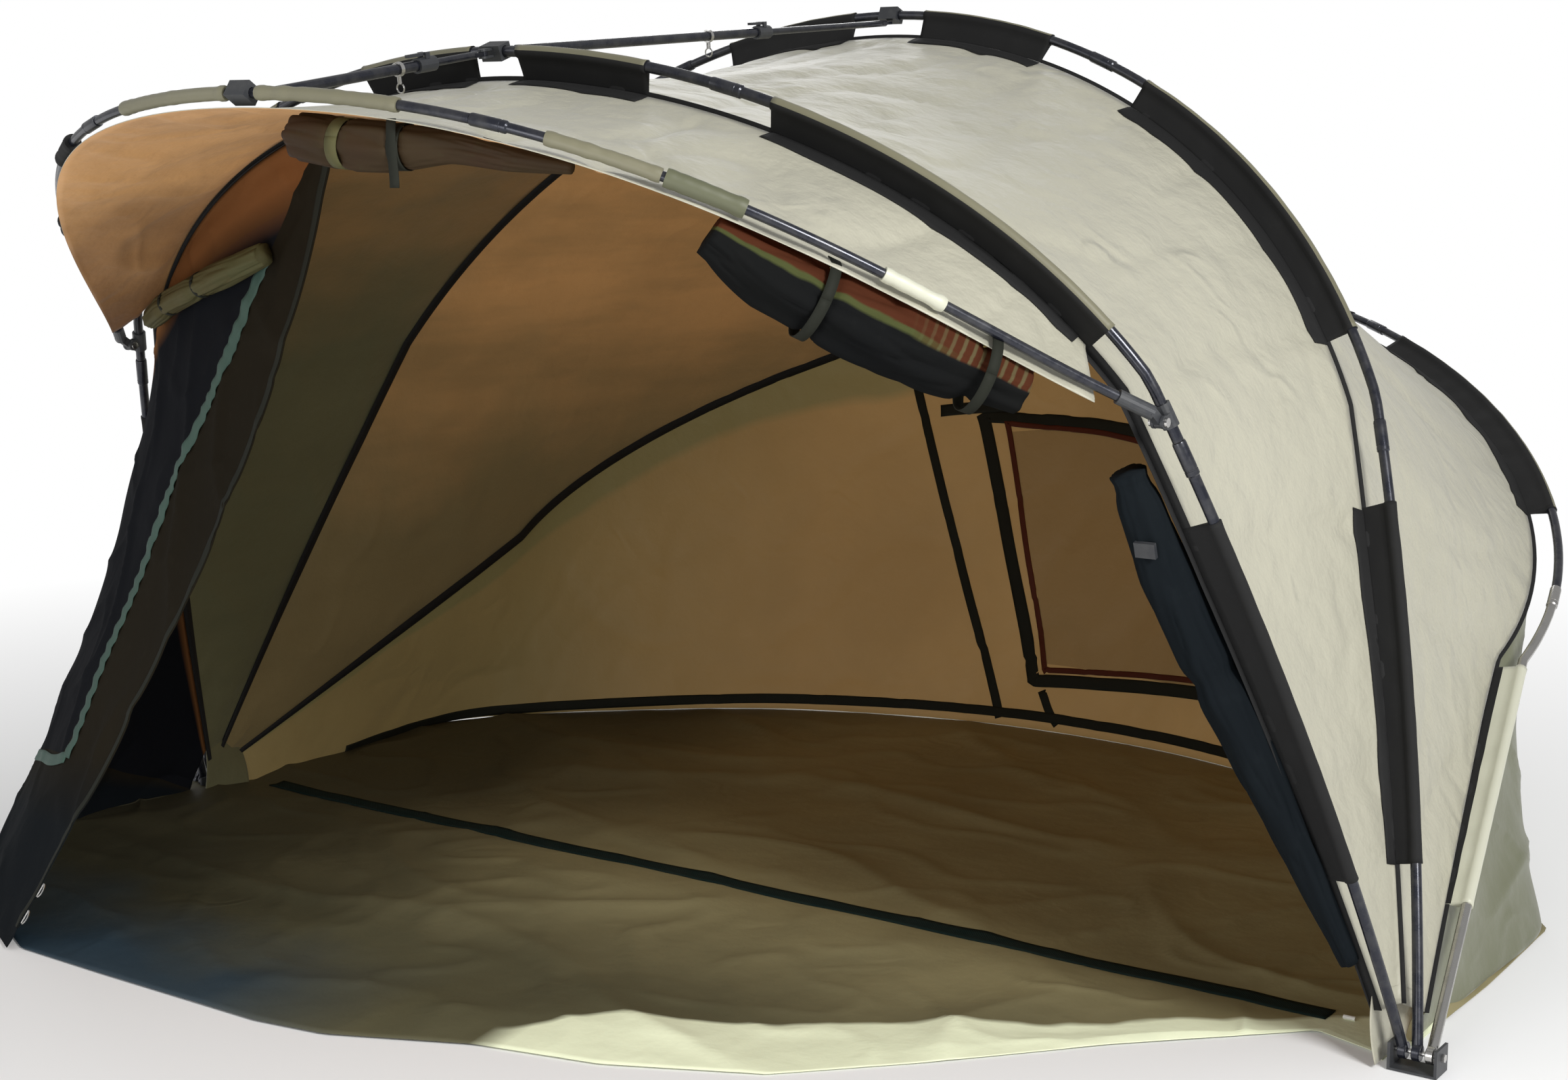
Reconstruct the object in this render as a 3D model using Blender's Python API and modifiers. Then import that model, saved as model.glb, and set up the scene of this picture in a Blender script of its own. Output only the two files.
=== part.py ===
# A three-rib bivvy tent: two side pivots, three nested ribs, a front hoop, ridge bars, canopy and floor.
# Metres, +Z up, +X to the right as seen from the open front, +Y to the rear.
# The origin is on the ground, midway between the two side pivots.

import math

import bmesh
import bpy
from mathutils import Matrix, Vector

# Frame as a whole
PIVOT_HALF = 1.5
PIVOT_HEIGHT = 0.030
RIB_PITCH = 0.024
FIT_GAP = 0.0003
POLE_GAP = 0.0010
RUNNING_GAP = 0.0006
CUT_OVERRUN = 0.002
WELD = 0.00002

# Tubes
RIB_TUBE = 0.019
HOOP_TUBE = 0.016
FERRULE_LENGTH = 0.060
FERRULE_WALL = 0.0020
FERRULE_EASE = 0.0008

# Front rib
FRONT_ELBOW_HALF = 1.168
FRONT_ELBOW_RISE = 1.215
FRONT_CROWN_RISE = 1.756
FRONT_SHOULDER_REACH = 0.553
FRONT_CROWN_REACH = 0.252
FRONT_BOW = 0.028
FRONT_SHOULDER_DEGREES = 56.6
FRONT_LEAN_DEGREES = -18.3

# Middle rib
MIDDLE_ELBOW_HALF = 1.222
MIDDLE_ELBOW_RISE = 1.130
MIDDLE_CROWN_RISE = 1.900
MIDDLE_SHOULDER_REACH = 0.574
MIDDLE_CROWN_REACH = 0.452
MIDDLE_BOW = 0.023
MIDDLE_SHOULDER_DEGREES = 63.5
MIDDLE_LEAN_DEGREES = 22.2

# Rear rib
REAR_ELBOW_HALF = 1.348
REAR_ELBOW_RISE = 1.055
REAR_CROWN_RISE = 2.467
REAR_SHOULDER_REACH = 0.605
REAR_CROWN_REACH = 0.673
REAR_BOW = 0.001
REAR_SHOULDER_DEGREES = 98.1
REAR_LEAN_DEGREES = 63.6

# Places along a rib, as shares of the half rib from its foot to its crown
LOW_FERRULE_SHARES = {"front": 0.441, "middle": 0.416, "rear": 0.409}
HIGH_FERRULE_SHARES = {"front": 0.825, "middle": 0.807, "rear": 0.812}
SLEEVE_SHARES = {
    "front": ((0.130, 0.386), (0.521, 0.779), (0.875, 0.980)),
    "middle": ((0.118, 0.358), (0.486, 0.752), (0.847, 0.967)),
    "rear": ((0.113, 0.325), (0.499, 0.772), (0.832, 0.960)),
}
SWIVEL_SHARE = 0.459

# Front hoop, in its own plane through the swivel bolts
HOOP_REACH = 0.905
HOOP_END_REACH = 0.300
HOOP_END_STRAIGHT = 0.075
HOOP_CROWN_REACH = 0.740
HOOP_END_DEGREES = 129.0
HOOP_RISE_DEGREES = 34.3
HOOP_JOINT_SHARE = 0.730

# Side pivots
LUG_RADIUS = 0.015
LUG_THICKNESS = 0.014
PIVOT_BOLT = 0.008
BOLT_HEAD_RADIUS = 0.0075
BOLT_HEAD_DEPTH = 0.005
CHEEK_THICKNESS = 0.005
CHEEK_SIDE_GAP = 0.0045
SHOE_BASE_THICKNESS = 0.004
SHOE_HALF_DEPTH = 0.026
SHOE_TOP_SPARE = 0.018

# Hoop swivels
SWIVEL_FORWARD = 0.0255
SWIVEL_BODY_RADIUS = 0.0138
SWIVEL_BODY_HEIGHT = 0.040
SWIVEL_BOLT = 0.006
SWIVEL_EYE_RADIUS = 0.0100
SWIVEL_EYE_THICKNESS = 0.010
SWIVEL_EAR_THICKNESS = 0.005
SWIVEL_NECK_REACH = 0.030
SWIVEL_HOLE_REACH = 0.030
CUP_RADIUS = 0.0120
CUP_LENGTH = 0.062
CUP_FLOOR = 0.010

# Crown blocks and ridge bars
CROWN_BLOCK_WIDTH = 0.044
CROWN_BLOCK_DEPTH = 0.030
CROWN_BLOCK_HEIGHT = 0.027
BAR_PIN_OFFSET = 0.033
BAR_PIN = 0.005
BAR_EYE_RADIUS = 0.0085
BAR_EYE_THICKNESS = 0.007
BAR_EAR_THICKNESS = 0.004
BAR_NECK = 0.020
BAR_OUTER = 0.0180
BAR_INNER = 0.0130
BAR_WALL_GAP = 0.0004
BAR_TIP_LENGTH = 0.036
BAR_TIP_WIDTH = 0.014
BAR_TIP_THICKNESS = 0.006
PEAK_BAR_ROD_SHOWN = 0.105
PEAK_BAR_ROD_HIDDEN = 0.060
MAIN_BAR_SLEEVE_LENGTH = 0.760
MAIN_BAR_ROD_HIDDEN = 0.080
COLLAR_RADIUS = 0.0130
COLLAR_LENGTH = 0.042
LEVER_LENGTH = 0.040
LEVER_WIDTH = 0.010
LEVER_THICKNESS = 0.005
LEVER_PIN = 0.003
LEVER_PIN_LIFT = 0.0045
HOOK_BARREL_RADIUS = 0.0040
HOOK_BARREL_LENGTH = 0.012
HOOK_RING_RADIUS = 0.0080
HOOK_WIRE = 0.0026
HOOK_BAND_WIDTH = 0.008
PEAK_HOOK_ALONG = 0.190
MAIN_HOOK_ALONG = 0.560

# Cloth
CLOTH = 0.003
WING_THICKNESS = 0.001
CANOPY_SAG = 0.035
CANOPY_FOLD = 0.006
SEAM_INSET = 0.052
SEAM_TAPER_LENGTH = 0.90
SEAM_FOOT_INSET = 0.022
SEAM_SIDE_GAP = 0.0017
WALL_SIDE_GAP = 0.0026
WING_TUBE_GAP = 0.0009
WING_INNER = 0.060
WING_BAND = 0.012
HOOP_CLOTH_INSET = 0.004
HOOP_CLOTH_DROP = 0.024
CANOPY_FOOT_SHARE = 0.030
WING_FOOT_SHARE = 0.055
WING_EASE_SHARE = 0.35
WING_FOOT_WIDTH = 0.006
PEAK_FOOT_SHARE = 0.262
PEAK_HOOP_SHARE = 0.060

# Floor and rear wall
FLOOR_THICKNESS = 0.003
FLOOR_SIDE_CLEARANCE = 0.060
FLOOR_SIDE_HALF = PIVOT_HALF - FLOOR_SIDE_CLEARANCE
FLOOR_SIDE_DEPTH = 0.060
FLOOR_REAR_DEPTH = 1.555
FLOOR_MARGIN = 0.010
FLOOR_FRONT_DEPTH = 0.940
FLOOR_FRONT_RIGHT_SHARES = (
    (0.985, -0.030),
    (0.900, -0.070),
    (0.711, 0.205),
    (0.560, 0.460),
    (0.420, 0.670),
    (0.240, 0.800),
)
FLOOR_FRONT_LEFT_SHARES = (
    (0.075, 0.857),
    (-0.100, 0.976),
    (-0.204, 1.0),
    (-0.495, 0.996),
    (-0.664, 0.990),
)
FLOOR_LEFT_SHARES = ((-1.005, 0.070), (-1.045, 0.160), (-1.062, 0.303), (-1.008, 0.600), (-0.862, 0.845))
WALL_BASE_SHARES = (
    (1.008, 0.065),
    (1.014, 0.290),
    (1.010, 0.515),
    (0.915, 0.640),
    (0.760, 0.770),
    (0.580, 0.890),
    (0.390, 0.965),
    (0.200, 1.012),
    (0.0, 1.026),
)
WALL_LIFT = 0.0014
STRAP_WIDTH = 0.048
STRAP_THICKNESS = 0.002
STRAP_DEPTH = 0.140
STRAP_LEFT_SPARE = 0.060
STRAP_RIGHT_SPARE = 0.150
STRAP_LEFT = FLOOR_SIDE_HALF - STRAP_LEFT_SPARE
STRAP_RIGHT = FLOOR_SIDE_HALF - STRAP_RIGHT_SPARE
TOGGLE_RADIUS = 0.004
TOGGLE_LENGTH = 0.022

# Left front panel, which hangs from the front rib and is pegged at its front corner
CORNER_HALF = 0.975
CORNER_FORWARD = 0.950
PANEL_HEM_SHARES = ((1.515, 0.060), (1.590, 0.300), (1.510, 0.600), (1.290, 0.850), (1.0, 1.0))
PANEL_SEAM_SHARES = (1.960, 1.170)
PANEL_FRONT_GAP = 0.0024
PANEL_INSET = 0.0625
PANEL_BELLY = 0.165
PANEL_FOLD = 0.008
RING_HALF_WIDTH = 0.014
RING_WIRE = 0.0034
RING_EDGE_GAP = 0.0022
SLIDER_LENGTH = 0.020
SLIDER_WIDTH = 0.010
SLIDER_THICKNESS = 0.005
SLIDER_OFFSET = 0.0048
ZIP_TOP_SHARES = (0.93, 0.22)
ZIP_FOOT_SHARES = (0.66, 0.85)
RING_PLACE_SHARES = (0.940, 0.968)

# Rolled door cloths
BUCKLE_LENGTH = 0.036
BUCKLE_WIDTH = 0.026
BUCKLE_THICKNESS = 0.008
BUCKLE_SHARE = 0.385
BUCKLE_SEAT_SHARE = 0.848
ROLL_STEPS = 4
ROLL_TURNS = 9
ROLL_WAVE_SHARE = 0.05
ROLL_GAP = 0.0003
WINDOW_ROLL_SLACK = 0.0018
DOOR_ROLL_RADIUS = 0.065
DOOR_ROLL_SHARES = (0.57, 0.88, 0.97, 1.0, 0.85, 0.65)
DOOR_ROLL_SPAN_SHARES = (0.225, 0.035, 0.060)
SIDE_ROLL_RADIUS = 0.044
SIDE_ROLL_SHARES = (0.80, 1.0, 1.0, 0.85, 0.65, 0.40)
SIDE_ROLL_SPAN_SHARES = (0.405, 0.070)
SIDE_ROLL_FORWARD = 0.0112
CROWN_ROLL_RADIUS = 0.043
CROWN_ROLL_SHARES = (0.90, 1.0, 0.95, 0.60, 0.50, 0.25)
CROWN_ROLL_SPAN_SHARES = (0.472, 0.305, 0.080)
WINDOW_ROLL_RADIUS = 0.028
WINDOW_ROLL_SHARES = (0.85, 1.0, 1.0, 1.0, 0.85)
WINDOW_ROLL_PLACE_SHARES = (
    (0.628, 0.060),
    (0.705, 0.108),
    (0.784, 0.140),
    (0.860, 0.155),
    (0.930, 0.157),
)

# Facets, steps and folds of the model
ROUND_SIDES = 16
LUG_SIDES = 24
EYE_SIDES = 20
SMALL_SIDES = 12
PIN_SIDES = 10
BOLT_HEAD_SIDES = 6
LEG_STEPS = 16
ARCH_STEPS = 48
PATH_STEPS = 8
POLE_POINTS_LEG = {"front": 7, "middle": 7, "rear": 13}
POLE_POINTS_ARCH = {"front": 18, "middle": 18, "rear": 20}
POLE_POINTS_CROWN = {"front": 6, "middle": 6, "rear": 10}
HOOP_POINTS = 14
HOOP_CROWN_POINTS = 6
RING_POINTS = 16
WING_STEPS = 66
CANOPY_STEPS = 36
CANOPY_ACROSS = 6
PANEL_STEPS = 20
PANEL_ACROSS = 14
STRAIGHT_SHARE = 0.6
NECK_SHARE = 0.8
NEAR_SHARE = 0.004
SEAM_EASE_SHARE = 0.7
FOLD_TURNS = 14
FOLD_SLANT_SHARE = 0.12
PANEL_FOLD_TURNS = 9


# Scene, materials and collections
def clear_scene():
    for obj in list(bpy.data.objects):
        bpy.data.objects.remove(obj, do_unlink=True)


clear_scene()
PARTS = bpy.data.collections.new("bivvy_tent")
CUTTERS = bpy.data.collections.new("bivvy_tent_cutters")
bpy.context.scene.collection.children.link(PARTS)
bpy.context.scene.collection.children.link(CUTTERS)

TUBE_FINISH = ((0.016, 0.018, 0.026), 0.28, 0.6)
STEEL_FINISH = ((0.55, 0.55, 0.56), 0.30, 1.0)
MOULDED_FINISH = ((0.030, 0.032, 0.036), 0.50, 0.0)
CANOPY_FINISH = ((0.36, 0.34, 0.27), 0.75, 0.0)
TRIM_FINISH = ((0.025, 0.026, 0.027), 0.80, 0.0)
FLOOR_FINISH = ((0.060, 0.058, 0.040), 0.60, 0.0)
ROLL_FINISH = ((0.080, 0.085, 0.060), 0.80, 0.0)
PANEL_FINISH = ((0.060, 0.068, 0.070), 0.80, 0.0)
WEBBING_FINISH = ((0.014, 0.045, 0.042), 0.85, 0.0)


def finish(obj, look):
    colour, roughness, metallic = look
    material = bpy.data.materials.new(obj.name)
    material.use_nodes = True
    shader = material.node_tree.nodes["Principled BSDF"]
    shader.inputs["Base Color"].default_value = (*colour, 1)
    shader.inputs["Roughness"].default_value = roughness
    shader.inputs["Metallic"].default_value = metallic
    obj.data.materials.clear()
    obj.data.materials.append(material)


def axis_empty(name, location, parent=None):
    empty = bpy.data.objects.new(name, None)
    empty.location = location
    PARTS.objects.link(empty)
    if parent:
        hold(empty, parent)
    return empty


def hold(obj, parent):
    """Parents obj to parent and leaves it where it stands."""
    bpy.context.view_layer.update()
    obj.parent = parent
    obj.matrix_parent_inverse = parent.matrix_world.inverted()


def add_part(name, data, look, parent=None, matrix=None):
    obj = bpy.data.objects.new(name, data)
    PARTS.objects.link(obj)
    finish(obj, look)
    if matrix:
        obj.matrix_world = matrix
    if parent:
        hold(obj, parent)
    return obj


def combine(obj, other, operation):
    """Adds a Boolean with a helper object that is itself left out of the part."""
    modifier = obj.modifiers.new(operation.lower(), "BOOLEAN")
    modifier.operation = operation
    modifier.object = other


# Solid shapes in a frame of their own
def block_mesh(name, low, high):
    bm = bmesh.new()
    low, high = Vector(low), Vector(high)
    size = high - low
    place = Matrix.Translation((low + high) / 2)
    bmesh.ops.create_cube(bm, size=1, matrix=place @ Matrix.Diagonal((*size, 1)))
    return mesh_from(bm, name)


def rod_mesh(name, start, end, radius, sides=ROUND_SIDES):
    start, end = Vector(start), Vector(end)
    along = end - start
    turn = along.to_track_quat("Z", "Y").to_matrix().to_4x4()
    bm = bmesh.new()
    bmesh.ops.create_cone(
        bm,
        cap_ends=True,
        segments=sides,
        radius1=radius,
        radius2=radius,
        depth=along.length,
        matrix=Matrix.Translation((start + end) / 2) @ turn,
    )
    return mesh_from(bm, name)


def mesh_from(bm, name):
    mesh = bpy.data.meshes.new(name)
    bm.to_mesh(mesh)
    bm.free()
    return mesh


def helper(mesh, matrix=None):
    obj = bpy.data.objects.new(mesh.name, mesh)
    CUTTERS.objects.link(obj)
    obj.hide_render = True
    obj.display_type = "WIRE"
    if matrix:
        obj.matrix_world = matrix
    return obj


def add(obj, mesh, matrix=None):
    combine(obj, helper(mesh, matrix), "UNION")


def cut(obj, mesh, matrix=None):
    combine(obj, helper(mesh, matrix), "DIFFERENCE")


# Curves: smooth samples, tubes along them
def along_lengths(points):
    lengths = [0.0]
    for first, second in zip(points, points[1:]):
        lengths.append(lengths[-1] + (second - first).length)
    return lengths


def sample(points, lengths, distance):
    """The point a given distance along a polyline."""
    distance = min(max(distance, 0.0), lengths[-1])
    for index in range(1, len(points)):
        if lengths[index] >= distance:
            break
    share = (distance - lengths[index - 1]) / (lengths[index] - lengths[index - 1])
    return points[index - 1].lerp(points[index], share)


def bezier(corners, share):
    first, second, third, fourth = corners
    rest = 1 - share
    near = first * rest**3 + second * (3 * rest**2 * share)
    return near + third * (3 * rest * share**2) + fourth * share**3


def smooth_path(points, steps):
    """A Catmull-Rom curve through the points."""
    path = []
    padded = [2 * points[0] - points[1], *points, 2 * points[-1] - points[-2]]
    for before, first, second, after in zip(padded, padded[1:], padded[2:], padded[3:]):
        for step in range(steps):
            t = step / steps
            pull = second - before
            bend = 2 * before - 5 * first + 4 * second - after
            twist = 3 * first - before - 3 * second + after
            path.append(first + (pull * t + bend * t**2 + twist * t**3) / 2)
    return [*path, points[-1]]


def tube_curve(name, points, radii, detail=2):
    curve = bpy.data.curves.new(name, "CURVE")
    curve.dimensions = "3D"
    curve.bevel_depth = max(radii)
    curve.bevel_resolution = detail
    curve.use_fill_caps = True
    spline = curve.splines.new("POLY")
    spline.points.add(len(points) - 1)
    for point, place, radius in zip(spline.points, points, radii):
        point.co = (*place, 1)
        point.radius = radius / curve.bevel_depth
    return curve


def tube(name, points, radii, look, parent, detail=2):
    return add_part(name, tube_curve(name, points, radii, detail), look, parent)


def solid_tube(name, points, radii, look, parent, detail=2):
    """A tube turned into a welded mesh, so that Booleans work on it."""
    bm = bmesh.new()
    guide = bpy.data.objects.new(name + "_guide", tube_curve(name, points, radii, detail))
    CUTTERS.objects.link(guide)
    bpy.context.view_layer.update()
    graph = bpy.context.evaluated_depsgraph_get()
    mesh = bpy.data.meshes.new_from_object(guide.evaluated_get(graph))
    bm.from_mesh(mesh)
    bmesh.ops.remove_doubles(bm, verts=bm.verts, dist=WELD)
    bmesh.ops.recalc_face_normals(bm, faces=bm.faces)
    bm.to_mesh(mesh)
    bm.free()
    bpy.data.objects.remove(guide, do_unlink=True)
    return add_part(name, mesh, look, parent)


# Ribs: one planar curve each, turned about the line through the side pivots
class Rib:
    """One rib's outline, from its right foot (position 0) over its crown (1) to its left foot (2)."""

    def __init__(self, name, pitch, elbow, crown, reaches, bow, shoulder, lean):
        self.name = name
        self.lean = math.radians(lean)
        foot = Vector((PIVOT_HALF + pitch, 0, 0))
        knee = Vector((*elbow, 0))
        across = Vector((knee.y, -knee.x + foot.x, 0)).normalized()
        leg = []
        for step in range(LEG_STEPS):
            share = step / LEG_STEPS
            leg.append(foot.lerp(knee, share) + across * (bow * 4 * share * (1 - share)))
        turn = math.radians(shoulder)
        pulls = (
            knee,
            knee + Vector((-math.cos(turn), math.sin(turn), 0)) * reaches[0],
            Vector((reaches[1], crown, 0)),
            Vector((0, crown, 0)),
        )
        half = leg + [bezier(pulls, step / ARCH_STEPS) for step in range(ARCH_STEPS + 1)]
        self.half = half
        self.lengths = along_lengths(half)
        self.length = self.lengths[-1]
        self.foot = foot.x
        self.crown = crown

    def flat(self, position, inset=0.0):
        """A point of the outline in the rib's own plane, moved towards its inside."""
        side = 1 if position <= 1 else -1
        share = position if position <= 1 else 2 - position
        distance = share * self.length
        step = self.length / (LEG_STEPS + ARCH_STEPS)
        ahead = sample(self.half, self.lengths, distance + step)
        behind = sample(self.half, self.lengths, distance - step)
        heading = (ahead - behind).normalized()
        inward = Vector((-heading.y, heading.x, 0))
        place = sample(self.half, self.lengths, distance) + inward * inset
        return Vector((side * place.x, place.y, 0))

    def seam(self, position, inset):
        """As flat, with an inset that eases off towards the foot."""
        share = position if position <= 1 else 2 - position
        ease = min(share * self.length / SEAM_TAPER_LENGTH, 1.0) ** SEAM_EASE_SHARE
        foot = min(SEAM_FOOT_INSET, inset)
        return self.flat(position, foot + (inset - foot) * ease)

    def world(self, place, normal=0.0):
        """From the rib's plane into the world; normal is the distance behind the plane."""
        sine, cosine = math.sin(self.lean), math.cos(self.lean)
        depth = place.y * sine + normal * cosine
        height = PIVOT_HEIGHT + place.y * cosine - normal * sine
        return Vector((place.x, depth, height))

    def frame(self, place, normal=0.0):
        """A frame with X across, Y behind the rib and Z up the rib."""
        sine, cosine = math.sin(self.lean), math.cos(self.lean)
        turn = Matrix(((1, 0, 0), (0, cosine, sine), (0, -sine, cosine))).to_4x4()
        return Matrix.Translation(self.world(place, normal)) @ turn


FRONT = Rib(
    "front",
    -RIB_PITCH,
    (FRONT_ELBOW_HALF, FRONT_ELBOW_RISE),
    FRONT_CROWN_RISE,
    (FRONT_SHOULDER_REACH, FRONT_CROWN_REACH),
    FRONT_BOW,
    FRONT_SHOULDER_DEGREES,
    FRONT_LEAN_DEGREES,
)
MIDDLE = Rib(
    "middle",
    0,
    (MIDDLE_ELBOW_HALF, MIDDLE_ELBOW_RISE),
    MIDDLE_CROWN_RISE,
    (MIDDLE_SHOULDER_REACH, MIDDLE_CROWN_REACH),
    MIDDLE_BOW,
    MIDDLE_SHOULDER_DEGREES,
    MIDDLE_LEAN_DEGREES,
)
REAR = Rib(
    "rear",
    RIB_PITCH,
    (REAR_ELBOW_HALF, REAR_ELBOW_RISE),
    REAR_CROWN_RISE,
    (REAR_SHOULDER_REACH, REAR_CROWN_REACH),
    REAR_BOW,
    REAR_SHOULDER_DEGREES,
    REAR_LEAN_DEGREES,
)

AXIS = Vector((0, 0, PIVOT_HEIGHT))
REAR_AXIS = axis_empty("rear_rib_axis", AXIS)
MIDDLE_AXIS = axis_empty("middle_rib_axis", AXIS, REAR_AXIS)
FRONT_AXIS = axis_empty("front_rib_axis", AXIS, MIDDLE_AXIS)


def pole_points(rib, start, end, count, swell_end):
    """Points and radii of one pole section; an end that swells takes the next pole."""
    span = abs(end - start) * rib.length
    plain = RIB_TUBE / 2
    wide = plain + FERRULE_WALL
    stations = [(share / (count - 1) * span, plain) for share in range(count)]
    if not swell_end:
        stations = [(distance, plain) for distance in level_crown(count, span)]
    if swell_end:
        edge = span - FERRULE_LENGTH
        stations = [s for s in stations if s[0] < edge - FERRULE_EASE]
        stations += [(edge, plain), (edge + FERRULE_EASE, wide)]
        stations += [(span - FERRULE_LENGTH / 2, wide), (span, wide)]
    points, radii = [], []
    for distance, radius in stations:
        position = start + (end - start) * distance / span
        points.append(rib.world(rib.flat(position)))
        radii.append(radius)
    return points, radii


def level_crown(count, span):
    """Even stations over a crown, with a straight stretch through its block."""
    half = span / 2
    near = CROWN_BLOCK_WIDTH * STRAIGHT_SHARE
    side = [share / (count - 1) * (half - near) for share in range(count)]
    return side + [span - distance for distance in reversed(side)]


def build_rib_poles(rib, parent, foot_look):
    """Five pole sections: two legs with a drilled lug, two arches and a crown."""
    low = LOW_FERRULE_SHARES[rib.name]
    high = HIGH_FERRULE_SHARES[rib.name]
    gap = POLE_GAP / rib.length
    for side, sign in (("right", 1), ("left", -1)):
        def at(share, mirrored=sign < 0):
            return 2 - share if mirrored else share

        name = rib.name + "_rib_leg_" + side
        points, radii = pole_points(rib, at(0), at(low), POLE_POINTS_LEG[rib.name], True)
        leg = solid_tube(name, points, radii, foot_look, parent)
        centre = Vector((sign * rib.foot, 0, PIVOT_HEIGHT))
        half = Vector((LUG_THICKNESS / 2, 0, 0))
        over = Vector((RIB_TUBE, 0, 0))
        add(leg, rod_mesh(name + "_lug", centre - half, centre + half, LUG_RADIUS, LUG_SIDES))
        cut(leg, rod_mesh(name + "_bore", centre - over, centre + over, PIVOT_BOLT / 2 + FIT_GAP))
        name = rib.name + "_rib_arch_" + side
        points, radii = pole_points(rib, at(low + gap), at(high), POLE_POINTS_ARCH[rib.name], True)
        tube(name, points, radii, TUBE_FINISH, parent)
    points, radii = pole_points(rib, high + gap, 2 - high - gap, POLE_POINTS_CROWN[rib.name], False)
    tube(rib.name + "_rib_crown", points, radii, TUBE_FINISH, parent)


build_rib_poles(FRONT, FRONT_AXIS, TUBE_FINISH)
build_rib_poles(MIDDLE, MIDDLE_AXIS, TUBE_FINISH)
build_rib_poles(REAR, REAR_AXIS, STEEL_FINISH)


# Side pivots: a shoe on the ground each side, and one bolt through the three stacked lugs
def build_side_pivot(side, sign):
    half = RIB_PITCH + RIB_TUBE / 2 + CHEEK_SIDE_GAP
    outer = half + CHEEK_THICKNESS
    top = PIVOT_HEIGHT + SHOE_TOP_SPARE
    centre = Matrix.Translation((sign * PIVOT_HALF, 0, 0))
    shoe = add_part(
        "pivot_shoe_" + side,
        block_mesh("shoe", (-outer, -SHOE_HALF_DEPTH, 0), (outer, SHOE_HALF_DEPTH, top)),
        MOULDED_FINISH,
        None,
        centre,
    )
    over = SHOE_HALF_DEPTH + CUT_OVERRUN
    slot_low = (-half, -over, SHOE_BASE_THICKNESS)
    slot_high = (half, over, top + CUT_OVERRUN)
    cut(shoe, block_mesh("shoe_slot_" + side, slot_low, slot_high), centre)
    reach = outer + CUT_OVERRUN
    hole = rod_mesh(
        "shoe_hole_" + side,
        (-reach, 0, PIVOT_HEIGHT),
        (reach, 0, PIVOT_HEIGHT),
        PIVOT_BOLT / 2 + FIT_GAP,
    )
    cut(shoe, hole, centre)
    head = outer + FIT_GAP
    end = head + BOLT_HEAD_DEPTH
    shank = head + BOLT_HEAD_DEPTH / 2
    bolt = add_part(
        "pivot_bolt_" + side,
        rod_mesh("bolt", (-shank, 0, PIVOT_HEIGHT), (shank, 0, PIVOT_HEIGHT), PIVOT_BOLT / 2),
        STEEL_FINISH,
        None,
        centre,
    )
    for direction, label in ((1, "outer"), (-1, "inner")):
        cap = rod_mesh(
            "bolt_head_" + side + "_" + label,
            (direction * head, 0, PIVOT_HEIGHT),
            (direction * end, 0, PIVOT_HEIGHT),
            BOLT_HEAD_RADIUS,
            BOLT_HEAD_SIDES,
        )
        add(bolt, cap, centre)


build_side_pivot("right", 1)
build_side_pivot("left", -1)


# Front hoop on its two swivels
HOOP_RISE = math.radians(HOOP_RISE_DEGREES)
SWIVEL_FLAT = FRONT.flat(SWIVEL_SHARE)
HOOP_BASE = FRONT.world(SWIVEL_FLAT, -SWIVEL_FORWARD)
HOOP_AXIS = axis_empty("hoop_axis", Vector((0, HOOP_BASE.y, HOOP_BASE.z)), FRONT_AXIS)
HOOP_FORWARD = Vector((0, -math.cos(HOOP_RISE), math.sin(HOOP_RISE)))
HOOP_UP = Vector((0, math.sin(HOOP_RISE), math.cos(HOOP_RISE)))


class Hoop:
    """The hoop's outline from the right swivel (0) over its front (1) to the left one (2)."""

    def __init__(self):
        turn = math.radians(HOOP_END_DEGREES)
        heading = Vector((math.cos(turn), math.sin(turn), 0))
        end = Vector((SWIVEL_FLAT.x, SWIVEL_NECK_REACH, 0))
        start = end + heading * HOOP_END_STRAIGHT
        corners = (
            start,
            start + heading * HOOP_END_REACH,
            Vector((HOOP_CROWN_REACH, HOOP_REACH, 0)),
            Vector((0, HOOP_REACH, 0)),
        )
        self.half = [end] + [bezier(corners, step / ARCH_STEPS) for step in range(ARCH_STEPS + 1)]
        self.lengths = along_lengths(self.half)
        self.length = self.lengths[-1]

    def flat(self, position, inset=0.0):
        side = 1 if position <= 1 else -1
        share = position if position <= 1 else 2 - position
        distance = share * self.length
        step = self.length / ARCH_STEPS
        ahead = sample(self.half, self.lengths, distance + step)
        behind = sample(self.half, self.lengths, distance - step)
        heading = (ahead - behind).normalized()
        place = sample(self.half, self.lengths, distance) + Vector((-heading.y, heading.x, 0)) * inset
        return Vector((side * place.x, place.y, 0))

    def world(self, place, lift=0.0):
        base = Vector((place.x, HOOP_BASE.y, HOOP_BASE.z))
        return base + HOOP_FORWARD * place.y + HOOP_UP * lift


HOOP = Hoop()


def hoop_points(start, end, count, swell):
    span = abs(end - start) * HOOP.length
    plain = HOOP_TUBE / 2
    wide = plain + FERRULE_WALL
    stations = [(index / (count - 1) * span, plain) for index in range(count)]
    if not swell:
        stations = [(distance, plain) for distance in level_crown(HOOP_CROWN_POINTS, span)]
    if swell:
        edge = span - FERRULE_LENGTH
        stations = [s for s in stations if s[0] < edge - FERRULE_EASE]
        stations += [(edge, plain), (edge + FERRULE_EASE, wide)]
        stations += [(span - FERRULE_LENGTH / 2, wide), (span, wide)]
    points, radii = [], []
    for distance, radius in stations:
        points.append(HOOP.world(HOOP.flat(start + (end - start) * distance / span)))
        radii.append(radius)
    return points, radii


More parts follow.
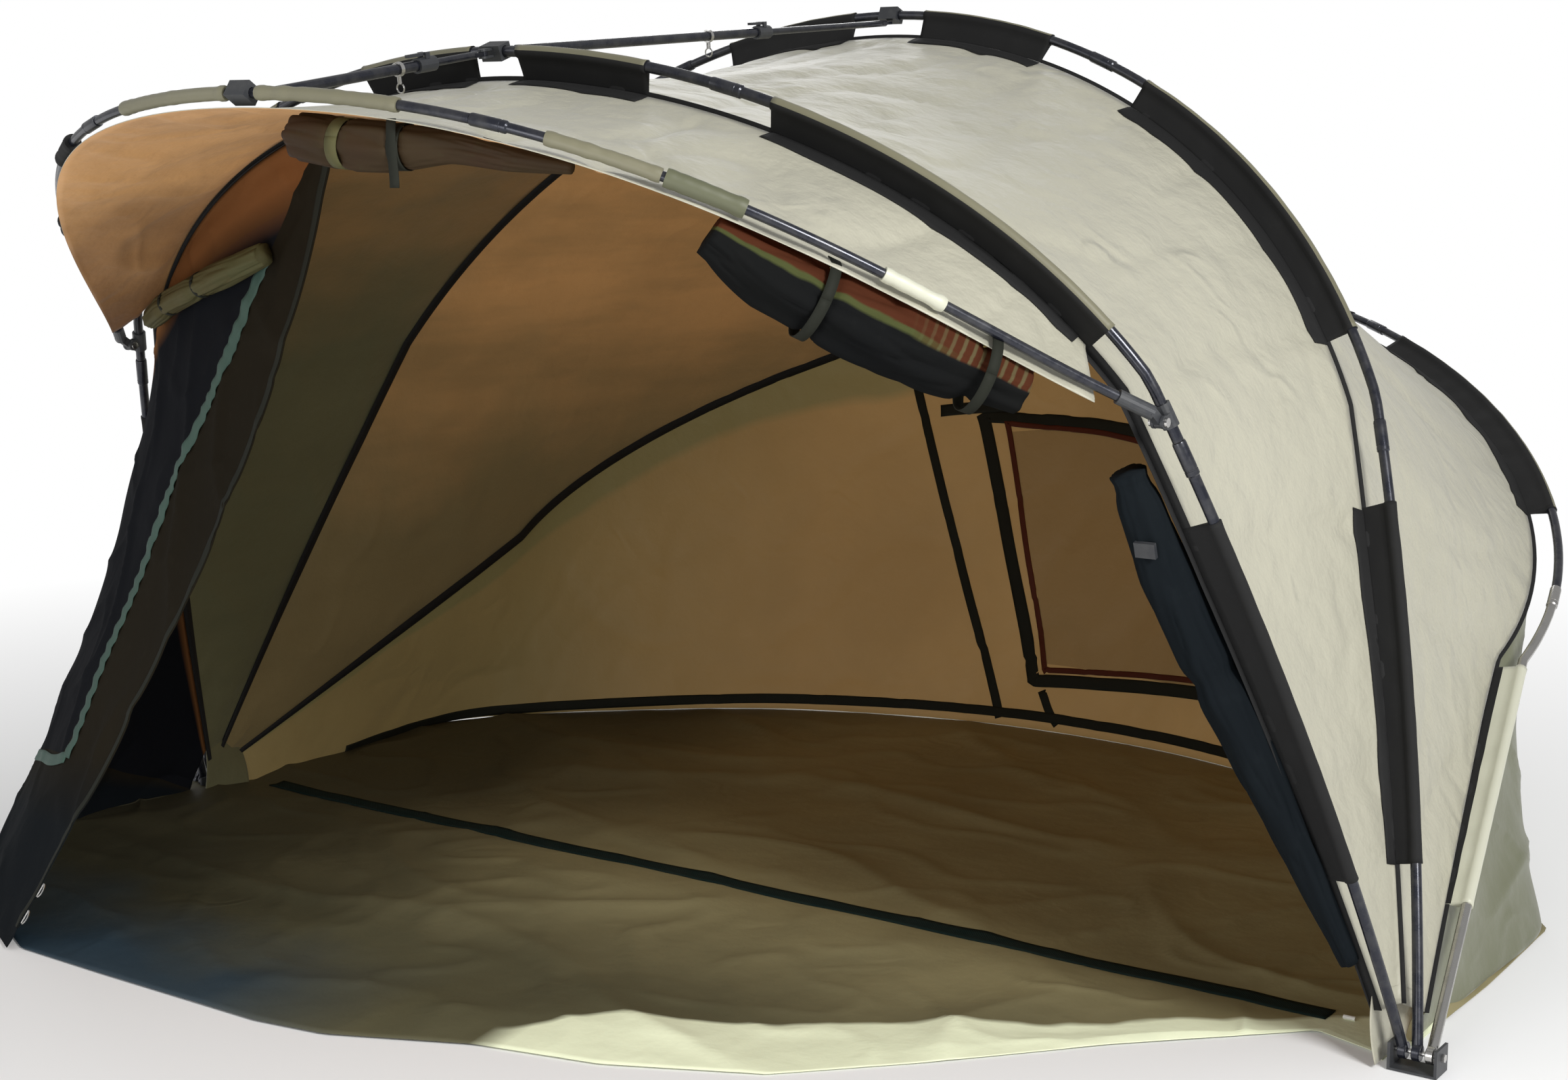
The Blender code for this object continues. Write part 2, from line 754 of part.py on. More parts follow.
def build_hoop():
    gap = POLE_GAP / HOOP.length
    inside = (CUP_FLOOR + FIT_GAP) / HOOP.length
    for side, sign in (("right", 1), ("left", -1)):
        start = inside if sign > 0 else 2 - inside
        end = HOOP_JOINT_SHARE if sign > 0 else 2 - HOOP_JOINT_SHARE
        points, radii = hoop_points(start, end, HOOP_POINTS, True)
        tube("hoop_side_" + side, points, radii, TUBE_FINISH, HOOP_AXIS)
    start = HOOP_JOINT_SHARE + gap
    points, radii = hoop_points(start, 2 - start, HOOP_POINTS, False)
    tube("hoop_front", points, radii, TUBE_FINISH, HOOP_AXIS)


build_hoop()


def build_swivel(side, sign):
    """A clamp round the front rib with two ears, the hoop's cup between them, and their bolt."""
    frame = FRONT.frame(Vector((sign * SWIVEL_FLAT.x, SWIVEL_FLAT.y, 0)))
    start = FRONT.world(FRONT.flat(SWIVEL_SHARE - SWIVEL_BODY_HEIGHT / FRONT.length))
    end = FRONT.world(FRONT.flat(SWIVEL_SHARE + SWIVEL_BODY_HEIGHT / FRONT.length))
    start.x *= sign
    end.x *= sign
    middle = (start + end) / 2
    half = (end - start) / 4
    body = add_part(
        "swivel_clamp_" + side,
        rod_mesh("clamp", middle - half, middle + half, SWIVEL_BODY_RADIUS),
        MOULDED_FINISH,
        FRONT_AXIS,
    )
    inner = SWIVEL_EYE_THICKNESS / 2 + RUNNING_GAP
    outer = inner + SWIVEL_EAR_THICKNESS
    for direction, label in ((1, "a"), (-1, "b")):
        low, high = sorted((direction * inner, direction * outer))
        ear = rod_mesh(
            "clamp_ear_" + side + label,
            (low, -SWIVEL_FORWARD, 0),
            (high, -SWIVEL_FORWARD, 0),
            SWIVEL_EYE_RADIUS + RUNNING_GAP,
            EYE_SIDES,
        )
        add(body, ear, frame)
        web = block_mesh(
            "clamp_web_" + side + label,
            (low, -SWIVEL_FORWARD, -SWIVEL_EYE_RADIUS * NECK_SHARE),
            (high, 0, SWIVEL_EYE_RADIUS * NECK_SHARE),
        )
        add(body, web, frame)
    cut(body, rod_mesh("clamp_bore_" + side, start, end, RIB_TUBE / 2 + RUNNING_GAP))
    bolt_line = ((-SWIVEL_HOLE_REACH, -SWIVEL_FORWARD, 0), (SWIVEL_HOLE_REACH, -SWIVEL_FORWARD, 0))
    hole = rod_mesh("clamp_bolt_hole_" + side, *bolt_line, SWIVEL_BOLT / 2 + FIT_GAP, SMALL_SIDES)
    cut(body, hole, frame)

    end = outer + FIT_GAP + BOLT_HEAD_DEPTH
    shank = outer + FIT_GAP + BOLT_HEAD_DEPTH / 2
    bolt = add_part(
        "swivel_bolt_" + side,
        rod_mesh(
            "swivel_bolt",
            (-shank, -SWIVEL_FORWARD, 0),
            (shank, -SWIVEL_FORWARD, 0),
            SWIVEL_BOLT / 2,
            SMALL_SIDES,
        ),
        STEEL_FINISH,
        FRONT_AXIS,
        frame,
    )
    for direction, label in ((1, "a"), (-1, "b")):
        low, high = sorted((direction * (outer + FIT_GAP), direction * end))
        head = rod_mesh(
            "swivel_head_" + side + label,
            (low, -SWIVEL_FORWARD, 0),
            (high, -SWIVEL_FORWARD, 0),
            BOLT_HEAD_RADIUS,
        )
        add(bolt, head, frame)

    mirror = Matrix.Diagonal((sign, 1, 1))
    eye_centre = HOOP.world(Vector((sign * SWIVEL_FLAT.x, 0, 0)))
    across = Vector((SWIVEL_EYE_THICKNESS / 2, 0, 0))
    cup_start = mirror @ HOOP.world(HOOP.flat(0))
    cup_end = mirror @ HOOP.world(HOOP.flat(CUP_LENGTH / HOOP.length))
    cup = add_part(
        "hoop_cup_" + side,
        rod_mesh("cup", cup_start, cup_end, CUP_RADIUS),
        MOULDED_FINISH,
        HOOP_AXIS,
    )
    eye_line = (eye_centre - across, eye_centre + across)
    add(cup, rod_mesh("cup_eye_" + side, *eye_line, SWIVEL_EYE_RADIUS, EYE_SIDES))
    half = SWIVEL_EYE_THICKNESS / 2
    rise = SWIVEL_EYE_RADIUS * NECK_SHARE
    reach = SWIVEL_NECK_REACH + CUP_RADIUS * NECK_SHARE
    neck = block_mesh("cup_neck_" + side, (-half, 0, -rise), (half, reach, rise))
    basis = Matrix((Vector((1, 0, 0)), HOOP_FORWARD, HOOP_UP)).transposed().to_4x4()
    add(cup, neck, Matrix.Translation(eye_centre) @ basis)
    into = mirror @ HOOP.world(HOOP.flat(CUP_FLOOR / HOOP.length))
    mouth = cup_end + (cup_end - cup_start).normalized() * CUT_OVERRUN
    cut(cup, rod_mesh("cup_socket_" + side, into, mouth, HOOP_TUBE / 2 + RUNNING_GAP))
    over = Vector((SWIVEL_EYE_THICKNESS, 0, 0))
    bore_line = (eye_centre - over, eye_centre + over)
    cut(cup, rod_mesh("cup_bore_" + side, *bore_line, SWIVEL_BOLT / 2 + FIT_GAP, SMALL_SIDES))


build_swivel("right", 1)
build_swivel("left", -1)


# Crown blocks, and ridge bars that keep the ribs apart
def line_frame(origin, direction):
    """X across the tent, Y along the line, Z square to both."""
    along = direction.normalized()
    across = Vector((math.copysign(1, along.y), 0, 0))
    up = across.cross(along)
    return Matrix.Translation(origin) @ Matrix((across, along, up)).transposed().to_4x4()


FRONT_TOP = FRONT.world(Vector((0, FRONT_CROWN_RISE, 0)))
MIDDLE_TIP_INSET = CROWN_BLOCK_HEIGHT / 2 + BAR_TIP_THICKNESS / 2 + RUNNING_GAP
MIDDLE_TIP = MIDDLE.world(Vector((0, MIDDLE_CROWN_RISE - MIDDLE_TIP_INSET, 0)))
HOOP_TIP_INSET = CROWN_BLOCK_DEPTH / 2 + BAR_TIP_THICKNESS / 2
HOOP_TIP = HOOP.world(Vector((0, HOOP_REACH - HOOP_TIP_INSET, 0)), BAR_TIP_THICKNESS)
PEAK_FRAME = line_frame(FRONT_TOP, HOOP_TIP - FRONT_TOP)
MAIN_FRAME = line_frame(FRONT_TOP, MIDDLE_TIP - FRONT_TOP)
PEAK_BAR_LENGTH = (HOOP_TIP - FRONT_TOP).length
MAIN_BAR_LENGTH = (MIDDLE_TIP - FRONT_TOP).length


def crown_block(name, frame, parent):
    half = (CROWN_BLOCK_WIDTH / 2, CROWN_BLOCK_DEPTH / 2, CROWN_BLOCK_HEIGHT / 2)
    return add_part(name, block_mesh(name, [-h for h in half], half), MOULDED_FINISH, parent, frame)


def bore_block(block, tube_width, frame):
    over = CROWN_BLOCK_WIDTH / 2 + CUT_OVERRUN
    bore = rod_mesh(block.name + "_bore", (-over, 0, 0), (over, 0, 0), tube_width / 2 + RUNNING_GAP)
    cut(block, bore, frame)


def add_clevis(block, frame):
    """Two ears, one over the other, that hold a ridge bar's eye on an upright pin."""
    inner = BAR_EYE_THICKNESS / 2 + RUNNING_GAP
    outer = inner + BAR_EAR_THICKNESS
    for direction, label in ((1, "top"), (-1, "bottom")):
        low, high = sorted((direction * inner, direction * outer))
        name = frame.name + "_ear_" + label
        ear = rod_mesh(name, (0, BAR_PIN_OFFSET, low), (0, BAR_PIN_OFFSET, high), BAR_EYE_RADIUS)
        add(block, ear, frame.matrix)
        half = BAR_EYE_RADIUS * NECK_SHARE
        web = block_mesh(name + "_web", (-half, 0, low), (half, BAR_PIN_OFFSET, high))
        add(block, web, frame.matrix)


class Line:
    def __init__(self, name, matrix):
        self.name = name
        self.matrix = matrix


def pin_line(extra):
    reach = BAR_EYE_THICKNESS / 2 + RUNNING_GAP + BAR_EAR_THICKNESS + extra
    return (0, BAR_PIN_OFFSET, -reach), (0, BAR_PIN_OFFSET, reach)


PEAK_LINE = Line("peak_bar", PEAK_FRAME)
MAIN_LINE = Line("main_bar", MAIN_FRAME)
front_block_frame = FRONT.frame(Vector((0, FRONT_CROWN_RISE, 0)))
front_block = crown_block("front_crown_block", front_block_frame, FRONT_AXIS)
add_clevis(front_block, PEAK_LINE)
add_clevis(front_block, MAIN_LINE)
bore_block(front_block, RIB_TUBE, front_block_frame)
for line in (PEAK_LINE, MAIN_LINE):
    pin = rod_mesh(line.name + "_pin", *pin_line(-RUNNING_GAP), BAR_PIN / 2, SMALL_SIDES)
    add(front_block, pin, line.matrix)

middle_block_frame = MIDDLE.frame(Vector((0, MIDDLE_CROWN_RISE, 0)))
middle_block = crown_block("middle_crown_block", middle_block_frame, MIDDLE_AXIS)
bore_block(middle_block, RIB_TUBE, middle_block_frame)

hoop_basis = Matrix((Vector((1, 0, 0)), -HOOP_FORWARD, HOOP_UP)).transposed().to_4x4()
hoop_block_frame = Matrix.Translation(HOOP.world(Vector((0, HOOP_REACH, 0)))) @ hoop_basis
hoop_block = crown_block("hoop_crown_block", hoop_block_frame, HOOP_AXIS)
bore_block(hoop_block, HOOP_TUBE, hoop_block_frame)

PEAK_SWING = axis_empty("peak_bar_axis", PEAK_FRAME @ Vector((0, BAR_PIN_OFFSET, 0)), FRONT_AXIS)
MAIN_SWING = axis_empty("main_bar_axis", MAIN_FRAME @ Vector((0, BAR_PIN_OFFSET, 0)), FRONT_AXIS)


def add_bar_eye(bar, line):
    """The flat eye at a bar's root, drilled for the pin of its clevis."""
    half = BAR_EYE_THICKNESS / 2
    name = line.name + "_eye"
    eye = rod_mesh(name, (0, BAR_PIN_OFFSET, -half), (0, BAR_PIN_OFFSET, half), BAR_EYE_RADIUS)
    add(bar, eye, line.matrix)
    neck = block_mesh(
        name + "_neck",
        (-BAR_EYE_RADIUS * NECK_SHARE, BAR_PIN_OFFSET, -half),
        (BAR_EYE_RADIUS * NECK_SHARE, BAR_PIN_OFFSET + BAR_NECK + BAR_EYE_THICKNESS, half),
    )
    add(bar, neck, line.matrix)
    radius = BAR_PIN / 2 + RUNNING_GAP
    cut(bar, rod_mesh(name + "_bore", *pin_line(CUT_OVERRUN), radius, SMALL_SIDES), line.matrix)


def bar_rod(name, line, start, end, diameter, parent):
    return add_part(
        name,
        rod_mesh(name, (0, start, 0), (0, end, 0), diameter / 2),
        TUBE_FINISH,
        parent,
        line.matrix,
    )


def add_bar_tip(bar, line, end):
    """The flat tongue that a bar pushes against the next crown with."""
    tip = block_mesh(
        line.name + "_tip",
        (-BAR_TIP_WIDTH / 2, end - BAR_TIP_LENGTH, -BAR_TIP_THICKNESS / 2),
        (BAR_TIP_WIDTH / 2, end, BAR_TIP_THICKNESS / 2),
    )
    add(bar, tip, line.matrix)


def hollow(bar, line, start, end):
    """The bore of a sleeve, from its closed end to its mouth."""
    radius = BAR_INNER / 2 + BAR_WALL_GAP
    cut(bar, rod_mesh(bar.name + "_bore", (0, start, 0), (0, end, 0), radius), line.matrix)


def build_collar(name, line, middle, parent):
    """The clamp ring at a sleeve's mouth, slotted for its cam lever."""
    half = COLLAR_LENGTH / 2
    collar = bar_rod(name, line, middle - half, middle + half, 2 * COLLAR_RADIUS, parent)
    finish(collar, MOULDED_FINISH)
    bore = BAR_OUTER / 2 + FIT_GAP
    over = half + CUT_OVERRUN
    hole = rod_mesh(name + "_bore", (0, middle - over, 0), (0, middle + over, 0), bore)
    cut(collar, hole, line.matrix)
    lift = COLLAR_RADIUS + LEVER_PIN_LIFT
    cheek_low = LEVER_WIDTH / 2 + RUNNING_GAP
    cheek_high = cheek_low + BAR_EAR_THICKNESS
    for direction, label in ((1, "a"), (-1, "b")):
        low, high = sorted((direction * cheek_low, direction * cheek_high))
        cheek = block_mesh(
            name + "_cheek_" + label,
            (low, middle - LEVER_WIDTH / 2, bore + FIT_GAP),
            (high, middle + LEVER_WIDTH / 2, lift + LEVER_PIN),
        )
        add(collar, cheek, line.matrix)
    pin_ends = ((-cheek_high, middle, lift), (cheek_high, middle, lift))
    pin = rod_mesh(name + "_pin", *pin_ends, LEVER_PIN / 2, PIN_SIDES)
    add(collar, pin, line.matrix)
    return lift


def build_lever(name, line, middle, lift, direction, parent):
    """The cam lever, which lies along the bar when locked."""
    axis = axis_empty(name + "_axis", line.matrix @ Vector((0, middle, lift)), parent)
    low, high = sorted((0.0, direction * LEVER_LENGTH))
    half = LEVER_THICKNESS / 2
    lever = add_part(
        name,
        block_mesh(name, (-LEVER_WIDTH / 2, low, -half + lift), (LEVER_WIDTH / 2, high, half + lift)),
        MOULDED_FINISH,
        axis,
        line.matrix @ Matrix.Translation((0, middle, 0)),
    )
    reach = LEVER_WIDTH / 2
    boss = rod_mesh(name + "_boss", (-reach, middle, lift), (reach, middle, lift), LEVER_PIN)
    add(lever, boss, line.matrix)
    hole_ends = ((-LEVER_WIDTH, middle, lift), (LEVER_WIDTH, middle, lift))
    hole = rod_mesh(name + "_hole", *hole_ends, LEVER_PIN / 2 + FIT_GAP, PIN_SIDES)
    cut(lever, hole, line.matrix)


def build_hook(name, line, along, surface, parent):
    """A snap hook: a band that turns about its bar, a barrel and a ring."""
    frame = line.matrix @ Matrix.Translation((0, along, 0))
    axis = axis_empty(name + "_axis", frame.translation, parent)
    half = HOOK_BAND_WIDTH / 2
    bore = surface + RUNNING_GAP
    band = bore + HOOK_WIRE
    hook = add_part(name, rod_mesh(name, (0, -half, 0), (0, half, 0), band), STEEL_FINISH, axis, frame)
    top = (bore + band) / 2
    bottom = band + HOOK_BARREL_LENGTH
    barrel = rod_mesh(name + "_barrel", (0, 0, -bottom), (0, 0, -top), HOOK_BARREL_RADIUS, SMALL_SIDES)
    add(hook, barrel, frame)
    over = half + CUT_OVERRUN
    cut(hook, rod_mesh(name + "_bore", (0, -over, 0), (0, over, 0), bore), frame)
    centre = bottom + HOOK_RING_RADIUS - HOOK_WIRE / 2
    places = []
    for index in range(RING_POINTS):
        turn = 2 * math.pi * index / RING_POINTS
        reach = HOOK_RING_RADIUS
        places.append(Vector((reach * math.sin(turn), 0, reach * math.cos(turn) - centre)))
    ring = tube_curve(name + "_ring", places, [HOOK_WIRE / 2] * RING_POINTS, 1)
    ring.splines[0].use_cyclic_u = True
    add(hook, curve_to_mesh(name + "_ring", ring), frame)


def curve_to_mesh(name, curve):
    guide = bpy.data.objects.new(name + "_guide", curve)
    CUTTERS.objects.link(guide)
    bpy.context.view_layer.update()
    graph = bpy.context.evaluated_depsgraph_get()
    mesh = bpy.data.meshes.new_from_object(guide.evaluated_get(graph))
    bm = bmesh.new()
    bm.from_mesh(mesh)
    bmesh.ops.remove_doubles(bm, verts=bm.verts, dist=WELD)
    bmesh.ops.recalc_face_normals(bm, faces=bm.faces)
    bm.to_mesh(mesh)
    bm.free()
    mesh.name = name
    bpy.data.objects.remove(guide, do_unlink=True)
    return mesh


def build_peak_bar():
    """The short bar between the front rib and the hoop: a rod with a sleeve that slides on it."""
    root = BAR_PIN_OFFSET + BAR_NECK
    mouth = root + PEAK_BAR_ROD_SHOWN
    rod = bar_rod("peak_bar_rod", PEAK_LINE, root, mouth + PEAK_BAR_ROD_HIDDEN, BAR_INNER, PEAK_SWING)
    add_bar_eye(rod, PEAK_LINE)
    end = PEAK_BAR_LENGTH - BAR_TIP_LENGTH / 2
    sleeve = bar_rod("peak_bar_sleeve", PEAK_LINE, mouth, end, BAR_OUTER, PEAK_SWING)
    add_bar_tip(sleeve, PEAK_LINE, PEAK_BAR_LENGTH)
    hollow(sleeve, PEAK_LINE, mouth - CUT_OVERRUN, end - BAR_TIP_LENGTH)
    middle = mouth + COLLAR_LENGTH / 2
    lift = build_collar("peak_bar_collar", PEAK_LINE, middle, PEAK_SWING)
    build_lever("peak_bar_lever", PEAK_LINE, middle, lift, 1, PEAK_SWING)
    build_hook("peak_bar_hook", PEAK_LINE, PEAK_HOOK_ALONG + root, BAR_OUTER / 2, PEAK_SWING)


def build_main_bar():
    """The long bar between the front and middle ribs: a sleeve with a rod that slides into it."""
    root = BAR_PIN_OFFSET + BAR_NECK
    mouth = root + MAIN_BAR_SLEEVE_LENGTH
    sleeve = bar_rod("main_bar_sleeve", MAIN_LINE, root, mouth, BAR_OUTER, MAIN_SWING)
    add_bar_eye(sleeve, MAIN_LINE)
    hollow(sleeve, MAIN_LINE, root + BAR_TIP_LENGTH, mouth + CUT_OVERRUN)
    end = MAIN_BAR_LENGTH - BAR_TIP_LENGTH / 2
    rod = bar_rod("main_bar_rod", MAIN_LINE, mouth - MAIN_BAR_ROD_HIDDEN, end, BAR_INNER, MAIN_SWING)
    add_bar_tip(rod, MAIN_LINE, MAIN_BAR_LENGTH)
    middle = mouth - COLLAR_LENGTH / 2
    lift = build_collar("main_bar_collar", MAIN_LINE, middle, MAIN_SWING)
    build_lever("main_bar_lever", MAIN_LINE, middle, lift, -1, MAIN_SWING)
    build_hook("main_bar_hook", MAIN_LINE, MAIN_HOOK_ALONG + root, BAR_OUTER / 2, MAIN_SWING)


build_peak_bar()
build_main_bar()


# Cloth: a grid of faces, each corner placed by a formula, made solid with Solidify
def cloth(name, along, across, place, look, parent, thickness=CLOTH):
    bm = bmesh.new()
    bmesh.ops.create_grid(bm, x_segments=along, y_segments=across, size=1)
    for vertex in bm.verts:
        vertex.co = place((vertex.co.x + 1) / 2, (vertex.co.y + 1) / 2)
    bmesh.ops.recalc_face_normals(bm, faces=bm.faces)
    obj = add_part(name, mesh_from(bm, name), look, parent)
    solid = obj.modifiers.new("thickness", "SOLIDIFY")
    solid.thickness = thickness
    solid.offset = 0
    return obj


def swell(share):
    return 4 * share * (1 - share)


def stretched(first, second, across, along, sag, fold):
    """A point of cloth strung between two seams, with its sag and its tension folds."""
    middle = first.lerp(second, across)
    inward = Vector((-middle.x, 0, -middle.z)).normalized()
    wave = math.sin(FOLD_TURNS * math.pi * (along + FOLD_SLANT_SHARE * across))
    return middle + inward * (sag + fold * wave) * swell(across)


def canopy_between(first, second):
    def place(along, across):
        position = 2 * (CANOPY_FOOT_SHARE + (1 - 2 * CANOPY_FOOT_SHARE) * along)
        start = first.world(first.seam(position, SEAM_INSET), SEAM_SIDE_GAP)
        end = second.world(second.seam(position, SEAM_INSET), -SEAM_SIDE_GAP)
        sag = CANOPY_SAG * swell(along)
        return stretched(start, end, across, along, sag, CANOPY_FOLD * swell(along))

    return place


def peak_place(along, across):
    share = 2 * (along - 1 / 2)
    rib_position = 1 + share * 2 * (1 / 2 - PEAK_FOOT_SHARE)
    hoop_position = 1 + share * (1 - PEAK_HOOP_SHARE)
    start = HOOP.world(HOOP.flat(hoop_position, HOOP_CLOTH_INSET), -HOOP_CLOTH_DROP)
    end = FRONT.world(FRONT.seam(rib_position, SEAM_INSET), -SEAM_SIDE_GAP)
    return stretched(start, end, across, along, CANOPY_SAG / 2 * swell(along), CANOPY_FOLD * swell(along))


def wing_strip(rib):
    """The dark strip that ties the canopy to its rib, cut away where the pole shows."""
    breaks = []
    for low, high in SLEEVE_SHARES[rib.name]:
        breaks += [(low, high), (2 - high, 2 - low)]

    def place(along, across):
        position = 2 * (WING_FOOT_SHARE + (1 - 2 * WING_FOOT_SHARE) * along)
        covered = any(low <= position <= high for low, high in breaks)
        return rib.world(rib.flat(position, wing_inset(position, across, covered)))

    return place


def wing_inset(position, across, covered=True):
    """How far a wing's outer (0) or inner (1) edge lies inside its pole."""
    near = RIB_TUBE / 2 + WING_TUBE_GAP
    outer = near if covered else WING_INNER - WING_BAND
    inset = outer + (WING_INNER - outer) * across
    ease = min(1.0, position / WING_EASE_SHARE, (2 - position) / WING_EASE_SHARE)
    return near + (inset - near) * ease + WING_FOOT_WIDTH * across


cloth("front_rib_wing", WING_STEPS, 1, wing_strip(FRONT), TRIM_FINISH, FRONT_AXIS, WING_THICKNESS)
cloth("middle_rib_wing", WING_STEPS, 1, wing_strip(MIDDLE), TRIM_FINISH, MIDDLE_AXIS, WING_THICKNESS)
cloth("rear_rib_wing", WING_STEPS, 1, wing_strip(REAR), TRIM_FINISH, REAR_AXIS, WING_THICKNESS)
cloth("canopy_front", CANOPY_STEPS, CANOPY_ACROSS, canopy_between(FRONT, MIDDLE), CANOPY_FINISH, FRONT_AXIS)
cloth("canopy_rear", CANOPY_STEPS, CANOPY_ACROSS, canopy_between(MIDDLE, REAR), CANOPY_FINISH, MIDDLE_AXIS)
cloth("canopy_peak", CANOPY_STEPS, CANOPY_ACROSS, peak_place, CANOPY_FINISH, HOOP_AXIS)


# Floor, its strap, and the rear wall
def flat_sheet(name, outline, low, high, look):
    """A flat sheet with the given outline, between two heights."""
    curve = bpy.data.curves.new(name, "CURVE")
    curve.dimensions = "2D"
    curve.fill_mode = "BOTH"
    curve.extrude = (high - low) / 2
    spline = curve.splines.new("POLY")
    spline.points.add(len(outline) - 1)
    spline.use_cyclic_u = True
    for point, (across, depth) in zip(spline.points, outline):
        point.co = (across, depth, 0, 1)
    obj = add_part(name, curve_to_mesh(name, curve), look)
    obj.location.z = (low + high) / 2
    return obj


def floor_outline():
    half = FLOOR_SIDE_HALF
    side = half + FLOOR_MARGIN
    rear = FLOOR_REAR_DEPTH + FLOOR_MARGIN
    outline = [(half, 0), (half, FLOOR_SIDE_DEPTH)]
    outline += [(side * across, rear * depth) for across, depth in WALL_BASE_SHARES]
    outline += [(-side * across, rear * depth) for across, depth in reversed(WALL_BASE_SHARES[:-1])]
    outline += [(-half, FLOOR_SIDE_DEPTH), (-half, 0)]
    front = [*FLOOR_FRONT_RIGHT_SHARES, *FLOOR_FRONT_LEFT_SHARES]
    shares = [*FLOOR_LEFT_SHARES, *reversed(front)]
    outline += [(half * across, -FLOOR_FRONT_DEPTH * depth) for across, depth in shares]
    return outline


flat_sheet("groundsheet", floor_outline(), 0, FLOOR_THICKNESS, FLOOR_FINISH)

STRAP_LOW = FLOOR_THICKNESS + FIT_GAP
STRAP_TOP = STRAP_LOW + STRAP_THICKNESS
STRAP_FRONT = STRAP_DEPTH - STRAP_WIDTH / 2
STRAP_BACK = STRAP_DEPTH + STRAP_WIDTH / 2
STRAP_OUTLINE = (
    (-STRAP_LEFT, STRAP_FRONT),
    (STRAP_RIGHT, STRAP_FRONT),
    (STRAP_RIGHT, STRAP_BACK),
    (-STRAP_LEFT, STRAP_BACK),
)
flat_sheet("floor_strap", STRAP_OUTLINE, STRAP_LOW, STRAP_TOP, WEBBING_FINISH)
TOGGLE_START = STRAP_RIGHT + STRAP_WIDTH / 2
TOGGLE_REST = FLOOR_THICKNESS + TOGGLE_RADIUS + FIT_GAP
add_part(
    "strap_toggle",
    rod_mesh(
        "toggle",
        (TOGGLE_START, STRAP_DEPTH, TOGGLE_REST),
        (TOGGLE_START + TOGGLE_LENGTH, STRAP_DEPTH, TOGGLE_REST),
        TOGGLE_RADIUS,
        SMALL_SIDES,
    ),
    STEEL_FINISH,
)


def even_path(points):
    """The points joined by a smooth curve, read by share of its length."""
    path = smooth_path(points, PATH_STEPS)
    return path, along_lengths(path)


def rear_base():
    half, depth = FLOOR_SIDE_HALF, FLOOR_REAR_DEPTH
    height = FLOOR_THICKNESS + WALL_LIFT
    right = [Vector((half * across, depth * back, height)) for across, back in WALL_BASE_SHARES]
    left = [Vector((-place.x, place.y, place.z)) for place in reversed(right[:-1])]
    return even_path(right + left)


REAR_BASE, REAR_BASE_LENGTHS = rear_base()


def rear_wall_place(along, across):
    position = 2 * (CANOPY_FOOT_SHARE + (1 - 2 * CANOPY_FOOT_SHARE) * along)
    top = REAR.world(REAR.seam(position, SEAM_INSET), WALL_SIDE_GAP)
    bottom = sample(REAR_BASE, REAR_BASE_LENGTHS, along * REAR_BASE_LENGTHS[-1])
    middle = top.lerp(bottom, across)
    inward = Vector((-middle.x, -middle.y, 0)).normalized()
    wave = math.sin(FOLD_TURNS * math.pi * (along + FOLD_SLANT_SHARE * across))
    return middle + inward * (CANOPY_SAG / 2 + CANOPY_FOLD * wave) * swell(across) * swell(along)


cloth("rear_wall", CANOPY_STEPS, CANOPY_ACROSS, rear_wall_place, CANOPY_FINISH, None)


# Left front panel, from the front rib's left seam down to its pegged hem
HEM_HEIGHT = FLOOR_THICKNESS + WALL_LIFT
HEM = []
for across, depth in PANEL_HEM_SHARES:
    HEM.append(Vector((-CORNER_HALF * across, -CORNER_FORWARD * depth, HEM_HEIGHT)))
HEM_PATH, HEM_LENGTHS = even_path(HEM)
FRONT_BEHIND = FRONT.world(Vector((0, 0, 0)), 1) - FRONT.world(Vector((0, 0, 0)))


def panel_place(along, across):
    foot, head = PANEL_SEAM_SHARES
    top = FRONT.world(FRONT.seam(foot + (head - foot) * along, PANEL_INSET), -PANEL_FRONT_GAP)
    bottom = sample(HEM_PATH, HEM_LENGTHS, along * HEM_LENGTHS[-1])
    wave = math.sin(PANEL_FOLD_TURNS * math.pi * along)
    hang = PANEL_BELLY * along * swell(across)
    return top.lerp(bottom, across) + FRONT_BEHIND * (hang + PANEL_FOLD * wave * across * swell(along))


cloth("left_front_panel", PANEL_STEPS, PANEL_ACROSS, panel_place, PANEL_FINISH, FRONT_AXIS)

# The panel's zip slider and the two rings at its lower corner
ZIP_TOP = panel_place(*ZIP_TOP_SHARES)
ZIP_FOOT = panel_place(*ZIP_FOOT_SHARES)
ZIP_LINE = (ZIP_FOOT - ZIP_TOP).normalized()
ZIP_BESIDE = panel_place(ZIP_FOOT_SHARES[0] + CANOPY_FOOT_SHARE, ZIP_FOOT_SHARES[1])
PANEL_ACROSS_LINE = (ZIP_BESIDE - ZIP_FOOT).normalized()
PANEL_INSIDE = PANEL_ACROSS_LINE.cross(ZIP_LINE).normalized()
if PANEL_INSIDE.x < 0:
    PANEL_INSIDE.negate()
SLIDER_SIDE = ZIP_LINE.cross(PANEL_INSIDE)
SLIDER_AXES = Matrix((SLIDER_SIDE, ZIP_LINE, PANEL_INSIDE)).transposed().to_4x4()
SLIDER_FRAME = Matrix.Translation(ZIP_FOOT + PANEL_INSIDE * SLIDER_OFFSET) @ SLIDER_AXES
add_part(
    "panel_zip_slider",
    block_mesh(
        "slider",
        (-SLIDER_WIDTH / 2, -SLIDER_LENGTH / 2, -SLIDER_THICKNESS / 2),
        (SLIDER_WIDTH / 2, SLIDER_LENGTH / 2, SLIDER_THICKNESS / 2),
    ),
    STEEL_FINISH,
    FRONT_AXIS,
    SLIDER_FRAME,
)


